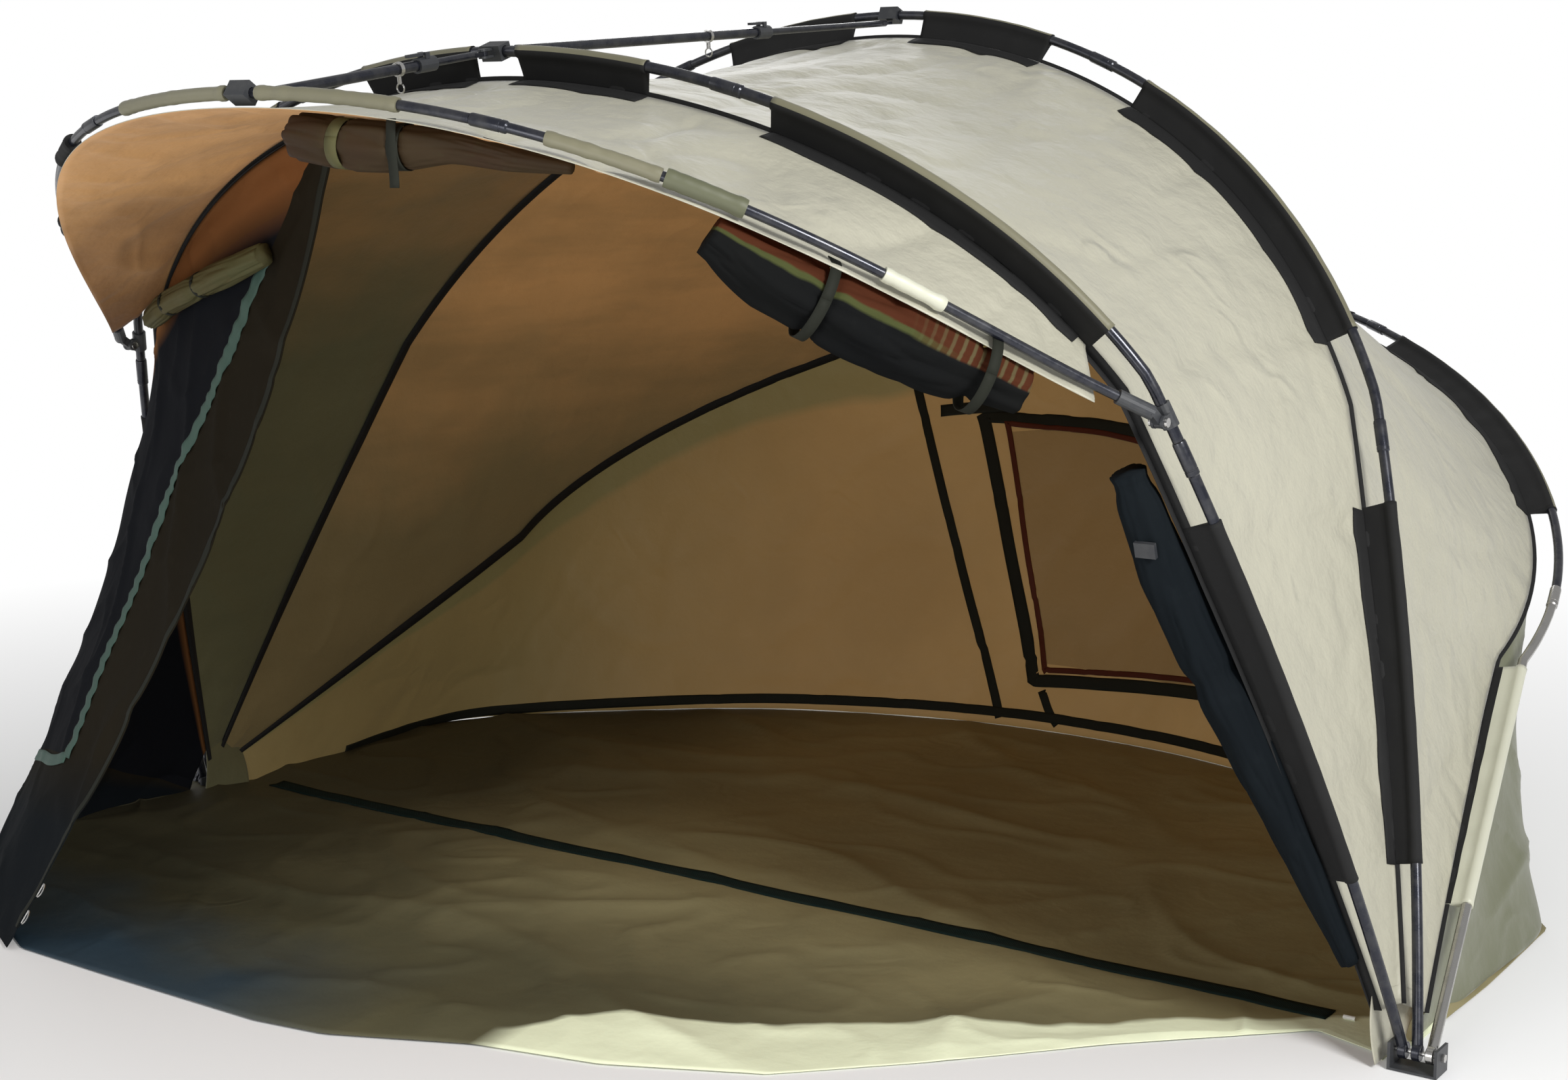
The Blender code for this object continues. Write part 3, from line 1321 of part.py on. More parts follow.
def build_corner_ring(name, share):
    """A ring beside the panel's free edge, hinged on its straight bar."""
    edge = panel_place(1, share)
    down = (panel_place(1, share + RING_WIRE) - edge).normalized()
    inner = panel_place(1 - CANOPY_FOOT_SHARE, share)
    out = (edge - inner).normalized()
    out = (out - down * out.dot(down)).normalized()
    origin = edge + out * RING_EDGE_GAP
    axis = axis_empty(name + "_axis", origin, FRONT_AXIS)
    places = []
    for index in range(RING_POINTS):
        turn = math.pi * index / (RING_POINTS - 1)
        places.append(origin + (out * math.sin(turn) + down * math.cos(turn)) * RING_HALF_WIDTH)
    ring = tube_curve(name, places, [RING_WIRE / 2] * RING_POINTS, 1)
    ring.splines[0].use_cyclic_u = True
    add_part(name, ring, STEEL_FINISH, axis)


build_corner_ring("corner_ring_upper", RING_PLACE_SHARES[0])
build_corner_ring("corner_ring_lower", RING_PLACE_SHARES[1])


# Door cloths, rolled and tied
def build_roll(name, points, radius, shares, look, parent):
    path = smooth_path(points, ROLL_STEPS)
    radii = []
    for index in range(len(path)):
        first = min(index // ROLL_STEPS, len(shares) - 2)
        share = index / ROLL_STEPS - first
        wave = 1 - ROLL_WAVE_SHARE * abs(math.sin(ROLL_TURNS * math.pi * index / len(path)))
        radii.append(radius * wave * (shares[first] * (1 - share) + shares[first + 1] * share))
    tube(name, path, radii, look, parent)


def off_cloth(place, along, across, distance, side):
    """A point at a distance from a cloth, on the side that a direction names."""
    here = place(along, across)
    ahead = place(along + NEAR_SHARE, across) - here
    over = place(along, across + NEAR_SHARE) - here
    normal = ahead.cross(over).normalized()
    if normal.dot(side) < 0:
        normal.negate()
    return here + normal * distance


def span_of(shares, count):
    first, last = shares[:2]
    return [first + (last - first) * index / (count - 1) for index in range(count)]


DOWN = Vector((0, 0, -1))


def rolls_under_peak(spans, radius, shares):
    points = []
    for along, share in zip(span_of(spans, len(shares)), shares):
        distance = radius * share + CLOTH / 2 + ROLL_GAP
        points.append(off_cloth(peak_place, along, spans[2], distance, DOWN))
    return points


DOOR_PATH = rolls_under_peak(DOOR_ROLL_SPAN_SHARES, DOOR_ROLL_RADIUS, DOOR_ROLL_SHARES)
build_roll("door_roll", DOOR_PATH, DOOR_ROLL_RADIUS, DOOR_ROLL_SHARES, ROLL_FINISH, HOOP_AXIS)
CROWN_PATH = rolls_under_peak(CROWN_ROLL_SPAN_SHARES, CROWN_ROLL_RADIUS, CROWN_ROLL_SHARES)
build_roll("crown_roll", CROWN_PATH, CROWN_ROLL_RADIUS, CROWN_ROLL_SHARES, ROLL_FINISH, HOOP_AXIS)

SIDE_PATH = []
for position, share in zip(span_of(SIDE_ROLL_SPAN_SHARES, len(SIDE_ROLL_SHARES)), SIDE_ROLL_SHARES):
    inset = wing_inset(position, 1) + SIDE_ROLL_RADIUS * share + RUNNING_GAP
    SIDE_PATH.append(FRONT.world(FRONT.flat(position, inset), -SIDE_ROLL_FORWARD))
build_roll("side_roll", SIDE_PATH, SIDE_ROLL_RADIUS, SIDE_ROLL_SHARES, TRIM_FINISH, FRONT_AXIS)

WINDOW_PATH = []
for (along, across), share in zip(WINDOW_ROLL_PLACE_SHARES, WINDOW_ROLL_SHARES):
    distance = WINDOW_ROLL_RADIUS * share + CLOTH / 2 + WINDOW_ROLL_SLACK
    WINDOW_PATH.append(off_cloth(panel_place, along, across, distance, -FRONT_BEHIND))
build_roll("window_roll", WINDOW_PATH, WINDOW_ROLL_RADIUS, WINDOW_ROLL_SHARES, TRIM_FINISH, FRONT_AXIS)

BUCKLE_SEAT = SIDE_ROLL_RADIUS * BUCKLE_SEAT_SHARE
BUCKLE_INSET = wing_inset(BUCKLE_SHARE, 1) + BUCKLE_SEAT
BUCKLE_FORWARD = SIDE_ROLL_FORWARD + BUCKLE_SEAT + BUCKLE_THICKNESS / 2 + FIT_GAP
add_part(
    "door_buckle",
    block_mesh(
        "buckle",
        (-BUCKLE_LENGTH / 2, -BUCKLE_THICKNESS / 2, -BUCKLE_WIDTH / 2),
        (BUCKLE_LENGTH / 2, BUCKLE_THICKNESS / 2, BUCKLE_WIDTH / 2),
    ),
    MOULDED_FINISH,
    FRONT_AXIS,
    FRONT.frame(FRONT.flat(BUCKLE_SHARE, BUCKLE_INSET), -BUCKLE_FORWARD),
)
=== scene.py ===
import math

import bmesh
import bpy
from mathutils import Matrix, Vector, noise
from mathutils.bvhtree import BVHTree


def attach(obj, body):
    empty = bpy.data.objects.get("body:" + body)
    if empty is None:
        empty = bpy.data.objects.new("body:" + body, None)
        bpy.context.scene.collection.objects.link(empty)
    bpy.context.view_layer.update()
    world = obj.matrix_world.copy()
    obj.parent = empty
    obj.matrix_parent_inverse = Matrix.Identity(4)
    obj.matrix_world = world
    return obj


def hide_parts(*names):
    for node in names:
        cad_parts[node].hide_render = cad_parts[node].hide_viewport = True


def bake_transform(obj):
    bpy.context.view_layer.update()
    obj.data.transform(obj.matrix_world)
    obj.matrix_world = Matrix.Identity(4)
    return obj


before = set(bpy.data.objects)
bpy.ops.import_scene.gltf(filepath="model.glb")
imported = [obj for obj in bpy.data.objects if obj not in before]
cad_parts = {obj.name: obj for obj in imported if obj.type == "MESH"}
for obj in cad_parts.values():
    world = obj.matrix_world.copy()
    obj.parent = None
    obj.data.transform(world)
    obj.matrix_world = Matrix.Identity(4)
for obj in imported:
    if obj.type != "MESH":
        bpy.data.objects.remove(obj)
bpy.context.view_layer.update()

# Camera, floor and light.
# The camera stands in front of the tent's right pivot at head height, where the photograph was taken.
# The light is soft and even, with the key side on the right, where the tent's cloth is brightest.
LENS_MM = 55.08
SENSOR_MM = 36
CAMERA_PLACE = Vector((2.8181, -3.7235, 1.6021))
CAMERA_YAW = 0.61080
CAMERA_PITCH = -0.17922
CAMERA_ROLL = -0.008185
heading = Vector((-math.sin(CAMERA_YAW), math.cos(CAMERA_YAW), 0)) * math.cos(CAMERA_PITCH)
heading.z = math.sin(CAMERA_PITCH)
level = Vector((math.cos(CAMERA_YAW), math.sin(CAMERA_YAW), 0))
above = level.cross(heading)
right_hand = level * math.cos(CAMERA_ROLL) + above * math.sin(CAMERA_ROLL)
overhead = above * math.cos(CAMERA_ROLL) - level * math.sin(CAMERA_ROLL)
lens = bpy.data.cameras.new("photo_camera")
lens.lens = LENS_MM
lens.sensor_width = SENSOR_MM
camera = bpy.data.objects.new("photo_camera", lens)
bpy.context.scene.collection.objects.link(camera)
camera_turn = Matrix((right_hand, overhead, -heading)).transposed().to_4x4()
camera.matrix_world = Matrix.Translation(CAMERA_PLACE) @ camera_turn
bpy.context.scene.camera = camera
bpy.context.scene.view_settings.view_transform = "Standard"


class Wire:
    """A shader value; sums and products of wires add Math nodes."""

    def __init__(self, tree, socket):
        self.tree = tree
        self.socket = socket

    def sum_with(self, operation, first, second):
        node = self.tree.nodes.new("ShaderNodeMath")
        node.operation = operation
        for place, value in zip(node.inputs, (first, second)):
            plug(self.tree, place, value)
        return Wire(self.tree, node.outputs[0])

    def __add__(self, other):
        return self.sum_with("ADD", self, other)

    def __radd__(self, other):
        return self.sum_with("ADD", other, self)

    def __sub__(self, other):
        return self.sum_with("SUBTRACT", self, other)

    def __rsub__(self, other):
        return self.sum_with("SUBTRACT", other, self)

    def __mul__(self, other):
        return self.sum_with("MULTIPLY", self, other)

    def __rmul__(self, other):
        return self.sum_with("MULTIPLY", other, self)

    def __gt__(self, other):
        return self.sum_with("GREATER_THAN", self, other)

    def __lt__(self, other):
        return self.sum_with("LESS_THAN", self, other)


def plug(tree, place, value):
    if isinstance(value, Wire):
        tree.links.new(value.socket, place)
    elif hasattr(value, "__len__") and len(value) == 3 and place.type == "RGBA":
        place.default_value = (*value, 1)
    else:
        place.default_value = value


class Finish:
    """A material round one Principled shader; node() adds every node that isn't plain maths."""

    def __init__(self, name, colour, roughness, metallic=0.0, **plain):
        self.material = bpy.data.materials.new(name)
        self.material.use_nodes = True
        self.tree = self.material.node_tree
        self.shader = self.tree.nodes["Principled BSDF"]
        self.set("Base Color", colour)
        self.set("Roughness", roughness)
        self.set("Metallic", metallic)
        for socket, value in plain.items():
            self.set(socket.replace("_", " "), value)

    def set(self, socket, value):
        plug(self.tree, self.shader.inputs[socket], value)

    def node(self, kind, settings=None, values=None, output=0):
        node = self.tree.nodes.new("ShaderNode" + kind)
        for key, value in (settings or {}).items():
            if key == "stops":
                ramp = node.color_ramp.elements
                while len(ramp) < len(value):
                    ramp.new(1)
                for element, (position, grey) in zip(ramp, value):
                    element.position = position
                    element.color = (grey, grey, grey, 1)
            else:
                setattr(node, key, value)
        for key, value in (values or {}).items():
            plug(self.tree, node.inputs[key], value)
        return Wire(self.tree, node.outputs[output])

    def places(self):
        return self.node("TexCoord", output=3)

    def axes(self, vector):
        parts = self.node("SeparateXYZ", None, {0: vector}).socket.node.outputs
        return [Wire(self.tree, part) for part in parts]

    def shares(self):
        """Where a point lies along and across its own sheet, as grid() stores it."""
        return self.axes(self.node("Attribute", {"attribute_name": "shares"}, output=1))

    def base(self):
        """The colour that the finish has so far."""
        return Wire(self.tree, self.shader.inputs["Base Color"].links[0].from_socket)

    def fade(self, value, start, end):
        """Goes from 0 where the value is start to 1 where it is end."""
        return self.node("MapRange", None, {"Value": value, "From Min": start, "From Max": end})

    def lit_through(self, tone, strength):
        """Thin cloth that glows a little in its own colour, because daylight comes through it."""
        self.set("Base Color", tone)
        self.set("Emission Color", tone)
        self.set("Emission Strength", strength)

    def noise(self, scale, detail=3.0, rough=0.5, kind="FBM", at=None, stretch=(1, 1, 1)):
        at = self.node("Mapping", values={"Vector": at or self.places(), "Scale": stretch})
        settings = {"noise_type": kind}
        values = {"Vector": at, "Scale": scale, "Detail": detail, "Roughness": rough}
        return self.node("TexNoise", settings, values)

    def ramp(self, factor, *stops):
        return self.node("ValToRGB", {"stops": stops}, {"Fac": factor})

    def mix(self, factor, first, second):
        settings = {"data_type": "RGBA"}
        return self.node("Mix", settings, {0: factor, 6: first, 7: second}, output=2)

    def bump(self, height, distance, strength=1.0, under=None):
        values = {"Height": height, "Distance": distance, "Strength": strength}
        if under is not None:
            values["Normal"] = under
        return self.node("Bump", None, values)


def shade(colour, factor):
    return tuple(min(1.0, channel * factor) for channel in colour)


FLOOR_TONE = (0.86, 0.86, 0.86)
FLOOR_REACH = 9.0
FLOOR_DROP = 0.001
WHITE_FROM = 1.2
WHITE_TO = 4.2
floor_finish = Finish("studio_floor", FLOOR_TONE, 0.9)
away = floor_finish.node("VectorMath", {"operation": "LENGTH"}, {0: floor_finish.places()}, output=1)
fade = floor_finish.fade(away, WHITE_FROM, WHITE_TO)
glow = floor_finish.tree.nodes.new("ShaderNodeEmission")
blend = floor_finish.tree.nodes.new("ShaderNodeMixShader")
plug(floor_finish.tree, blend.inputs[0], fade)
floor_finish.tree.links.new(floor_finish.shader.outputs[0], blend.inputs[1])
floor_finish.tree.links.new(glow.outputs[0], blend.inputs[2])
floor_finish.tree.links.new(blend.outputs[0], floor_finish.tree.nodes["Material Output"].inputs[0])
bm = bmesh.new()
bmesh.ops.create_circle(bm, cap_ends=True, segments=64, radius=FLOOR_REACH)
floor_mesh = bpy.data.meshes.new("studio_floor")
bm.to_mesh(floor_mesh)
bm.free()
floor_mesh.materials.append(floor_finish.material)
studio_floor = bpy.data.objects.new("studio_floor", floor_mesh)
studio_floor.location.z = -FLOOR_DROP
bpy.context.scene.collection.objects.link(studio_floor)

WORLD_LEVEL = 0.44
world = bpy.data.worlds.new("studio")
world.use_nodes = True
bpy.context.scene.world = world
sky = world.node_tree
path = sky.nodes.new("ShaderNodeLightPath")
seen = sky.nodes.new("ShaderNodeMath")
seen.operation = "MAXIMUM"
sky.links.new(path.outputs["Is Camera Ray"], seen.inputs[0])
sky.links.new(path.outputs["Is Transmission Ray"], seen.inputs[1])
power = sky.nodes.new("ShaderNodeMix")
sky.links.new(seen.outputs[0], power.inputs[0])
power.inputs[2].default_value = WORLD_LEVEL
power.inputs[3].default_value = 1.0
sky.links.new(power.outputs[0], sky.nodes["Background"].inputs["Strength"])
sky.nodes["Background"].inputs["Color"].default_value = (1, 1, 1, 1)

LAMP_AIM = Vector((0, 0.2, 0.8))
LAMPS = (
    ("key", (5.1, -2.0, 3.6), 1.6, 280),
    ("fill", (-4.2, -4.0, 2.6), 3.2, 40),
    ("back", (-2.5, 5.0, 2.6), 3.0, 90),
    ("inside", (0.9, -3.4, 0.9), 1.6, 30),
)
for name, place, size, watts in LAMPS:
    lamp = bpy.data.lights.new(name, "AREA")
    lamp.size = size
    lamp.energy = watts
    holder = bpy.data.objects.new(name, lamp)
    holder.location = place
    holder.rotation_euler = (LAMP_AIM - Vector(place)).to_track_quat("-Z", "Y").to_euler()
    bpy.context.scene.collection.objects.link(holder)

# Three nested ribs on the side pivots.
# Lacquered steel tube in five push-together sections, each section's end swaged out over the next one.
# The rear rib's lower sections are bare steel.
PIVOT_HALF = 1.5
PIVOT_HEIGHT = 0.030
RIB_PITCH = 0.024
RIB_TUBE = 0.019
FERRULE_LENGTH = 0.060
FERRULE_WALL = 0.0020
FERRULE_TAPER = 0.0025
GROOVE_START = 0.0100
GROOVE_END = 0.0130
GROOVE_SIDE = 0.0005
GROOVE_DEPTH = 0.0006
MOUTH_LENGTH = 0.0030
MOUTH_ROUND = 0.0008
POLE_GAP = 0.0010
LUG_HALF = 0.0070
LUG_RADIUS = 0.0150
LUG_EDGE_RADIUS = 0.0135
LUG_FLAT_SHARE = 0.82
LEG_STEPS = 16
ARCH_STEPS = 48
TUBE_SIDE = Vector((0.3, 0.9, 0.2))
SEAM_INSET = 0.052
SEAM_FOOT_INSET = 0.022
SEAM_TAPER_LENGTH = 0.90
SEAM_EASE = 0.7


def along_lengths(points):
    lengths = [0.0]
    for first, second in zip(points, points[1:]):
        lengths.append(lengths[-1] + (second - first).length)
    return lengths


def sample(points, lengths, distance):
    distance = min(max(distance, 0.0), lengths[-1])
    index = next(i for i in range(1, len(points)) if lengths[i] >= distance or i == len(points) - 1)
    share = (distance - lengths[index - 1]) / (lengths[index] - lengths[index - 1])
    return points[index - 1].lerp(points[index], share)


def bezier(corners, share):
    first, second, third, fourth = corners
    rest = 1 - share
    near = first * rest**3 + second * (3 * rest**2 * share)
    return near + third * (3 * rest * share**2) + fourth * share**3


def smooth_path(points, steps):
    """A Catmull-Rom curve through the points."""
    path = []
    padded = [2 * points[0] - points[1], *points, 2 * points[-1] - points[-2]]
    for before, first, second, after in zip(padded, padded[1:], padded[2:], padded[3:]):
        for step in range(steps):
            t = step / steps
            pull = second - before
            bend = 2 * before - 5 * first + 4 * second - after
            twist = 3 * first - before - 3 * second + after
            path.append(first + (pull * t + bend * t**2 + twist * t**3) / 2)
    return [*path, points[-1]]


class Outline:
    """Half an outline, mirrored: position 0 is its right end, 1 its middle and 2 its left end."""

    def flat(self, position, inset=0.0):
        side = 1 if position <= 1 else -1
        distance = (position if position <= 1 else 2 - position) * self.length
        ahead = sample(self.half, self.lengths, distance + self.step)
        behind = sample(self.half, self.lengths, distance - self.step)
        forward = (ahead - behind).normalized()
        place = sample(self.half, self.lengths, distance) + Vector((-forward.y, forward.x, 0)) * inset
        return Vector((side * place.x, place.y, 0))


class Rib(Outline):
    """One rib in its own plane, which leans about the line through the side pivots."""

    tube_radius = RIB_TUBE / 2
    spacing = 0.030

    def __init__(self, name, pitch, elbow, crown, reaches, bow, shoulder, lean):
        self.name = name
        self.lean = math.radians(lean)
        foot = Vector((PIVOT_HALF + pitch, 0, 0))
        knee = Vector((*elbow, 0))
        across = Vector((knee.y, -knee.x + foot.x, 0)).normalized()
        leg = []
        for step in range(LEG_STEPS):
            share = step / LEG_STEPS
            leg.append(foot.lerp(knee, share) + across * (bow * 4 * share * (1 - share)))
        turn = math.radians(shoulder)
        pull = knee + Vector((-math.cos(turn), math.sin(turn), 0)) * reaches[0]
        corners = (knee, pull, Vector((reaches[1], crown, 0)), Vector((0, crown, 0)))
        self.half = leg + [bezier(corners, step / ARCH_STEPS) for step in range(ARCH_STEPS + 1)]
        self.lengths = along_lengths(self.half)
        self.length = self.lengths[-1]
        self.step = self.length / (LEG_STEPS + ARCH_STEPS)
        self.foot = foot.x

    def seam_inset(self, position, inset=SEAM_INSET):
        share = position if position <= 1 else 2 - position
        ease = min(share * self.length / SEAM_TAPER_LENGTH, 1.0) ** SEAM_EASE
        foot = min(SEAM_FOOT_INSET, inset)
        return foot + (inset - foot) * ease

    def seam(self, position, inset=SEAM_INSET):
        return self.flat(position, self.seam_inset(position, inset))

    def world(self, place, normal=0.0):
        sine, cosine = math.sin(self.lean), math.cos(self.lean)
        depth = place.y * sine + normal * cosine
        return Vector((place.x, depth, PIVOT_HEIGHT + place.y * cosine - normal * sine))


FRONT = Rib("front", -RIB_PITCH, (1.168, 1.215), 1.756, (0.553, 0.252), 0.028, 56.6, -18.3)
MIDDLE = Rib("middle", 0, (1.222, 1.130), 1.900, (0.574, 0.452), 0.023, 63.5, 22.2)
REAR = Rib("rear", RIB_PITCH, (1.348, 1.055), 2.467, (0.605, 0.673), 0.001, 98.1, 63.6)
LOW_FERRULE_SHARES = {"front": 0.441, "middle": 0.416, "rear": 0.409}
HIGH_FERRULE_SHARES = {"front": 0.825, "middle": 0.807, "rear": 0.812}

# Colours as they are on the object, in linear light
TUBE_COLOUR = (0.016, 0.018, 0.028)
STEEL_COLOUR = (0.50, 0.49, 0.47)
DUST_COLOUR = (0.16, 0.155, 0.14)
RUBBED_COLOUR = (0.12, 0.12, 0.125)


def lacquer(name, colour, roughness, metallic):
    """Gloss lacquer on drawn tube: faint length-wise drawing lines, dust and rubbed spots."""
    paint = Finish(name, colour, roughness, metallic, Coat_Weight=0.35, Coat_Roughness=0.12)
    dust = paint.ramp(paint.noise(38, 5, 0.6), (0.42, 0.0), (0.72, 1.0))
    rub = paint.ramp(paint.noise(9, 6, 0.7), (0.60, 0.0), (0.72, 1.0))
    wear_and_highlight = paint.mix(dust * 0.22, colour, DUST_COLOUR)
    paint.set("Base Color", paint.mix(rub * 0.25, wear_and_highlight, RUBBED_COLOUR))
    paint.set("Roughness", roughness + dust * 0.18 + rub * 0.1)
    paint.set("Normal", paint.bump(paint.noise(240, 2, 0.5), 0.0002, 0.35))
    return paint.material


def bare_steel(name, colour, roughness):
    """Drawn or plated steel with fine scratches and a little tarnish."""
    paint = Finish(name, colour, roughness, 1.0)
    tarnish = paint.ramp(paint.noise(22, 6, 0.65), (0.45, 0.0), (0.8, 1.0))
    paint.set("Base Color", paint.mix(tarnish * 0.5, colour, shade(colour, 0.45)))
    paint.set("Roughness", roughness + tarnish * 0.25)
    paint.set("Normal", paint.bump(paint.noise(160, 3, 0.6, stretch=(1, 1, 0.1)), 0.0002, 0.3))
    return paint.material


POLE = lacquer("dark_pole", TUBE_COLOUR, 0.26, 0.55)
POLE_FINISHES = {"dark_pole": POLE, "bare_pole": bare_steel("bare_pole", STEEL_COLOUR, 0.22)}


def grid(columns, rows, place):
    """A grid whose corners are set by place(along, across), both from 0 to 1."""
    bm = bmesh.new()
    bmesh.ops.create_grid(bm, x_segments=columns, y_segments=rows, size=1)
    shares = bm.verts.layers.float_vector.new("shares")
    for vertex in bm.verts:
        vertex[shares] = ((vertex.co.x + 1) / 2, (vertex.co.y + 1) / 2, 0)
        vertex.co = place(*vertex[shares][:2])
    return bm


def close(bm):
    """Joins a grid's two long sides, caps its ends and turns its faces outwards."""
    bmesh.ops.remove_doubles(bm, verts=bm.verts, dist=0.00001)
    bmesh.ops.holes_fill(bm, edges=[edge for edge in bm.edges if edge.is_boundary], sides=0)
    bmesh.ops.recalc_face_normals(bm, faces=bm.faces)
    return bm


def append(bm, other):
    """Adds one bmesh to another."""
    mesh = bpy.data.meshes.new("part")
    other.to_mesh(mesh)
    other.free()
    bm.from_mesh(mesh)
    bpy.data.meshes.remove(mesh)


def piece(name, bm, *materials, body=None, slot=None, replaces=()):
    """Turns a bmesh into a named piece that rides on a body and stands for CAD nodes."""
    mesh = bpy.data.meshes.new(name)
    for face in bm.faces:
        face.smooth = True
    bm.to_mesh(mesh)
    bm.free()
    for material in materials:
        mesh.materials.append(material)
    obj = bpy.data.objects.new(name, mesh)
    bpy.context.scene.collection.objects.link(obj)
    if body:
        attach(obj, body)
    if replaces:
        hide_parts(*replaces)
    return obj


def sharpen(bm, degrees=35):
    """Keeps the edges that turn more than this sharp, and smooths the rest."""
    for edge in bm.edges:
        if len(edge.link_faces) == 2 and edge.calc_face_angle(0) > math.radians(degrees):
            edge.smooth = False
    return bm


def along_frame(points, index):
    ahead = points[min(index + 1, len(points) - 1)]
    behind = points[max(index - 1, 0)]
    return (ahead - behind).normalized()


def tube(points, radii, sides=20):
    """A closed round bar along points, with a radius at each."""
    count = len(points)

    def place(along, around):
        index = round(along * (count - 1))
        forward = along_frame(points, index)
        first = forward.cross(TUBE_SIDE).normalized()
        second = forward.cross(first)
        turn = 2 * math.pi * around
        return points[index] + (first * math.cos(turn) + second * math.sin(turn)) * radii[index]

    return sharpen(close(grid(count - 1, sides, place)))


def pole_line(outline, start, end, swells):
    """Points and radii of one pole section; an end that swells takes the next pole."""
    radius = outline.tube_radius
    span = abs(end - start) * outline.length
    count = max(4, int(span / outline.spacing))
    stations = [(span * index / count, radius) for index in range(count + 1)]
    if swells:
        edge = span - FERRULE_LENGTH
        wide = radius + FERRULE_WALL
        narrow = wide - GROOVE_DEPTH
        stations = [station for station in stations if station[0] < edge - MOUTH_LENGTH]
        stations += [(edge, radius), (edge + FERRULE_TAPER, wide), (edge + GROOVE_START, wide)]
        stations += [(edge + GROOVE_START + GROOVE_SIDE, narrow), (edge + GROOVE_END - GROOVE_SIDE, narrow)]
        stations += [(edge + GROOVE_END, wide), (span - MOUTH_LENGTH, wide), (span, wide - MOUTH_ROUND)]
    points, radii = [], []
    for distance, size in stations:
        points.append(outline.world(outline.flat(start + (end - start) * distance / span)))
        radii.append(size)
    return points, radii


def pole(name, body, outline, ends, swells=True, finish="dark_pole", lug_at=None):
    """One section of a rib or of the hoop; a leg also has the lug that turns on the pivot bolt."""
    bm = tube(*pole_line(outline, *ends, swells))
    if lug_at is not None:
        half = Vector((LUG_HALF, 0, 0))
        places = [lug_at + half * share for share in (-1, -LUG_FLAT_SHARE, LUG_FLAT_SHARE, 1)]
        append(bm, tube(places, [LUG_EDGE_RADIUS, LUG_RADIUS, LUG_RADIUS, LUG_EDGE_RADIUS], 32))
    piece("visual_" + name, bm, POLE_FINISHES[finish], body=body, replaces=(name,), slot=finish)


for rib, body in ((FRONT, "front_rib"), (MIDDLE, "middle_rib"), (REAR, "rear_rib")):
    low = LOW_FERRULE_SHARES[rib.name]
    high = HIGH_FERRULE_SHARES[rib.name]
    gap = POLE_GAP / rib.length
    finish = "bare_pole" if rib is REAR else "dark_pole"
    for side, sign in (("right", 1), ("left", -1)):
        start, elbow, top = (0, low, high) if sign > 0 else (2, 2 - low, 2 - high)
        bolt = Vector((sign * rib.foot, 0, PIVOT_HEIGHT))
        pole(f"{body}_leg_{side}", body, rib, (start, elbow), finish=finish, lug_at=bolt)
        pole(f"{body}_arch_{side}", body, rib, (elbow + gap * sign, top))
    pole(f"{body}_crown", body, rib, (high + gap, 2 - high - gap), swells=False)

# Front hoop on two swivels of the front rib.
# Thinner lacquered tube in three sections, with a moulded cup on each end.
SWIVEL_SHARE = 0.459
SWIVEL_FORWARD = 0.0255
SWIVEL_NECK_REACH = 0.030
HOOP_TUBE = 0.016
HOOP_REACH = 0.905
HOOP_END_REACH = 0.300
HOOP_END_STRAIGHT = 0.075
HOOP_CROWN_REACH = 0.740
HOOP_END_TURN = math.radians(129.0)
HOOP_RISE = math.radians(34.3)
HOOP_JOINT_SHARE = 0.730
CUP_FLOOR = 0.0103
SWIVEL_FLAT = FRONT.flat(SWIVEL_SHARE)
HOOP_BASE = FRONT.world(SWIVEL_FLAT, -SWIVEL_FORWARD)
HOOP_FORWARD = Vector((0, -math.cos(HOOP_RISE), math.sin(HOOP_RISE)))
HOOP_UP = Vector((0, math.sin(HOOP_RISE), math.cos(HOOP_RISE)))


class Hoop(Outline):
    """The hoop in its own plane through the swivel bolts."""

    tube_radius = HOOP_TUBE / 2
    spacing = 0.025

    def __init__(self):
        forward = Vector((math.cos(HOOP_END_TURN), math.sin(HOOP_END_TURN), 0))
        end = Vector((SWIVEL_FLAT.x, SWIVEL_NECK_REACH, 0))
        start = end + forward * HOOP_END_STRAIGHT
        pull = start + forward * HOOP_END_REACH
        corners = (start, pull, Vector((HOOP_CROWN_REACH, HOOP_REACH, 0)), Vector((0, HOOP_REACH, 0)))
        self.half = [end] + [bezier(corners, step / ARCH_STEPS) for step in range(ARCH_STEPS + 1)]
        self.lengths = along_lengths(self.half)
        self.length = self.lengths[-1]
        self.step = self.length / ARCH_STEPS

    def world(self, place, lift=0.0):
        base = Vector((place.x, HOOP_BASE.y, HOOP_BASE.z))
        return base + HOOP_FORWARD * place.y + HOOP_UP * lift


HOOP = Hoop()
for side, sign in (("right", 1), ("left", -1)):
    ends = (CUP_FLOOR / HOOP.length, HOOP_JOINT_SHARE)
    if sign < 0:
        ends = (2 - ends[0], 2 - ends[1])
    pole("hoop_side_" + side, "hoop", HOOP, ends)
start = HOOP_JOINT_SHARE + POLE_GAP / HOOP.length
pole("hoop_front", "hoop", HOOP, (start, 2 - start), swells=False)

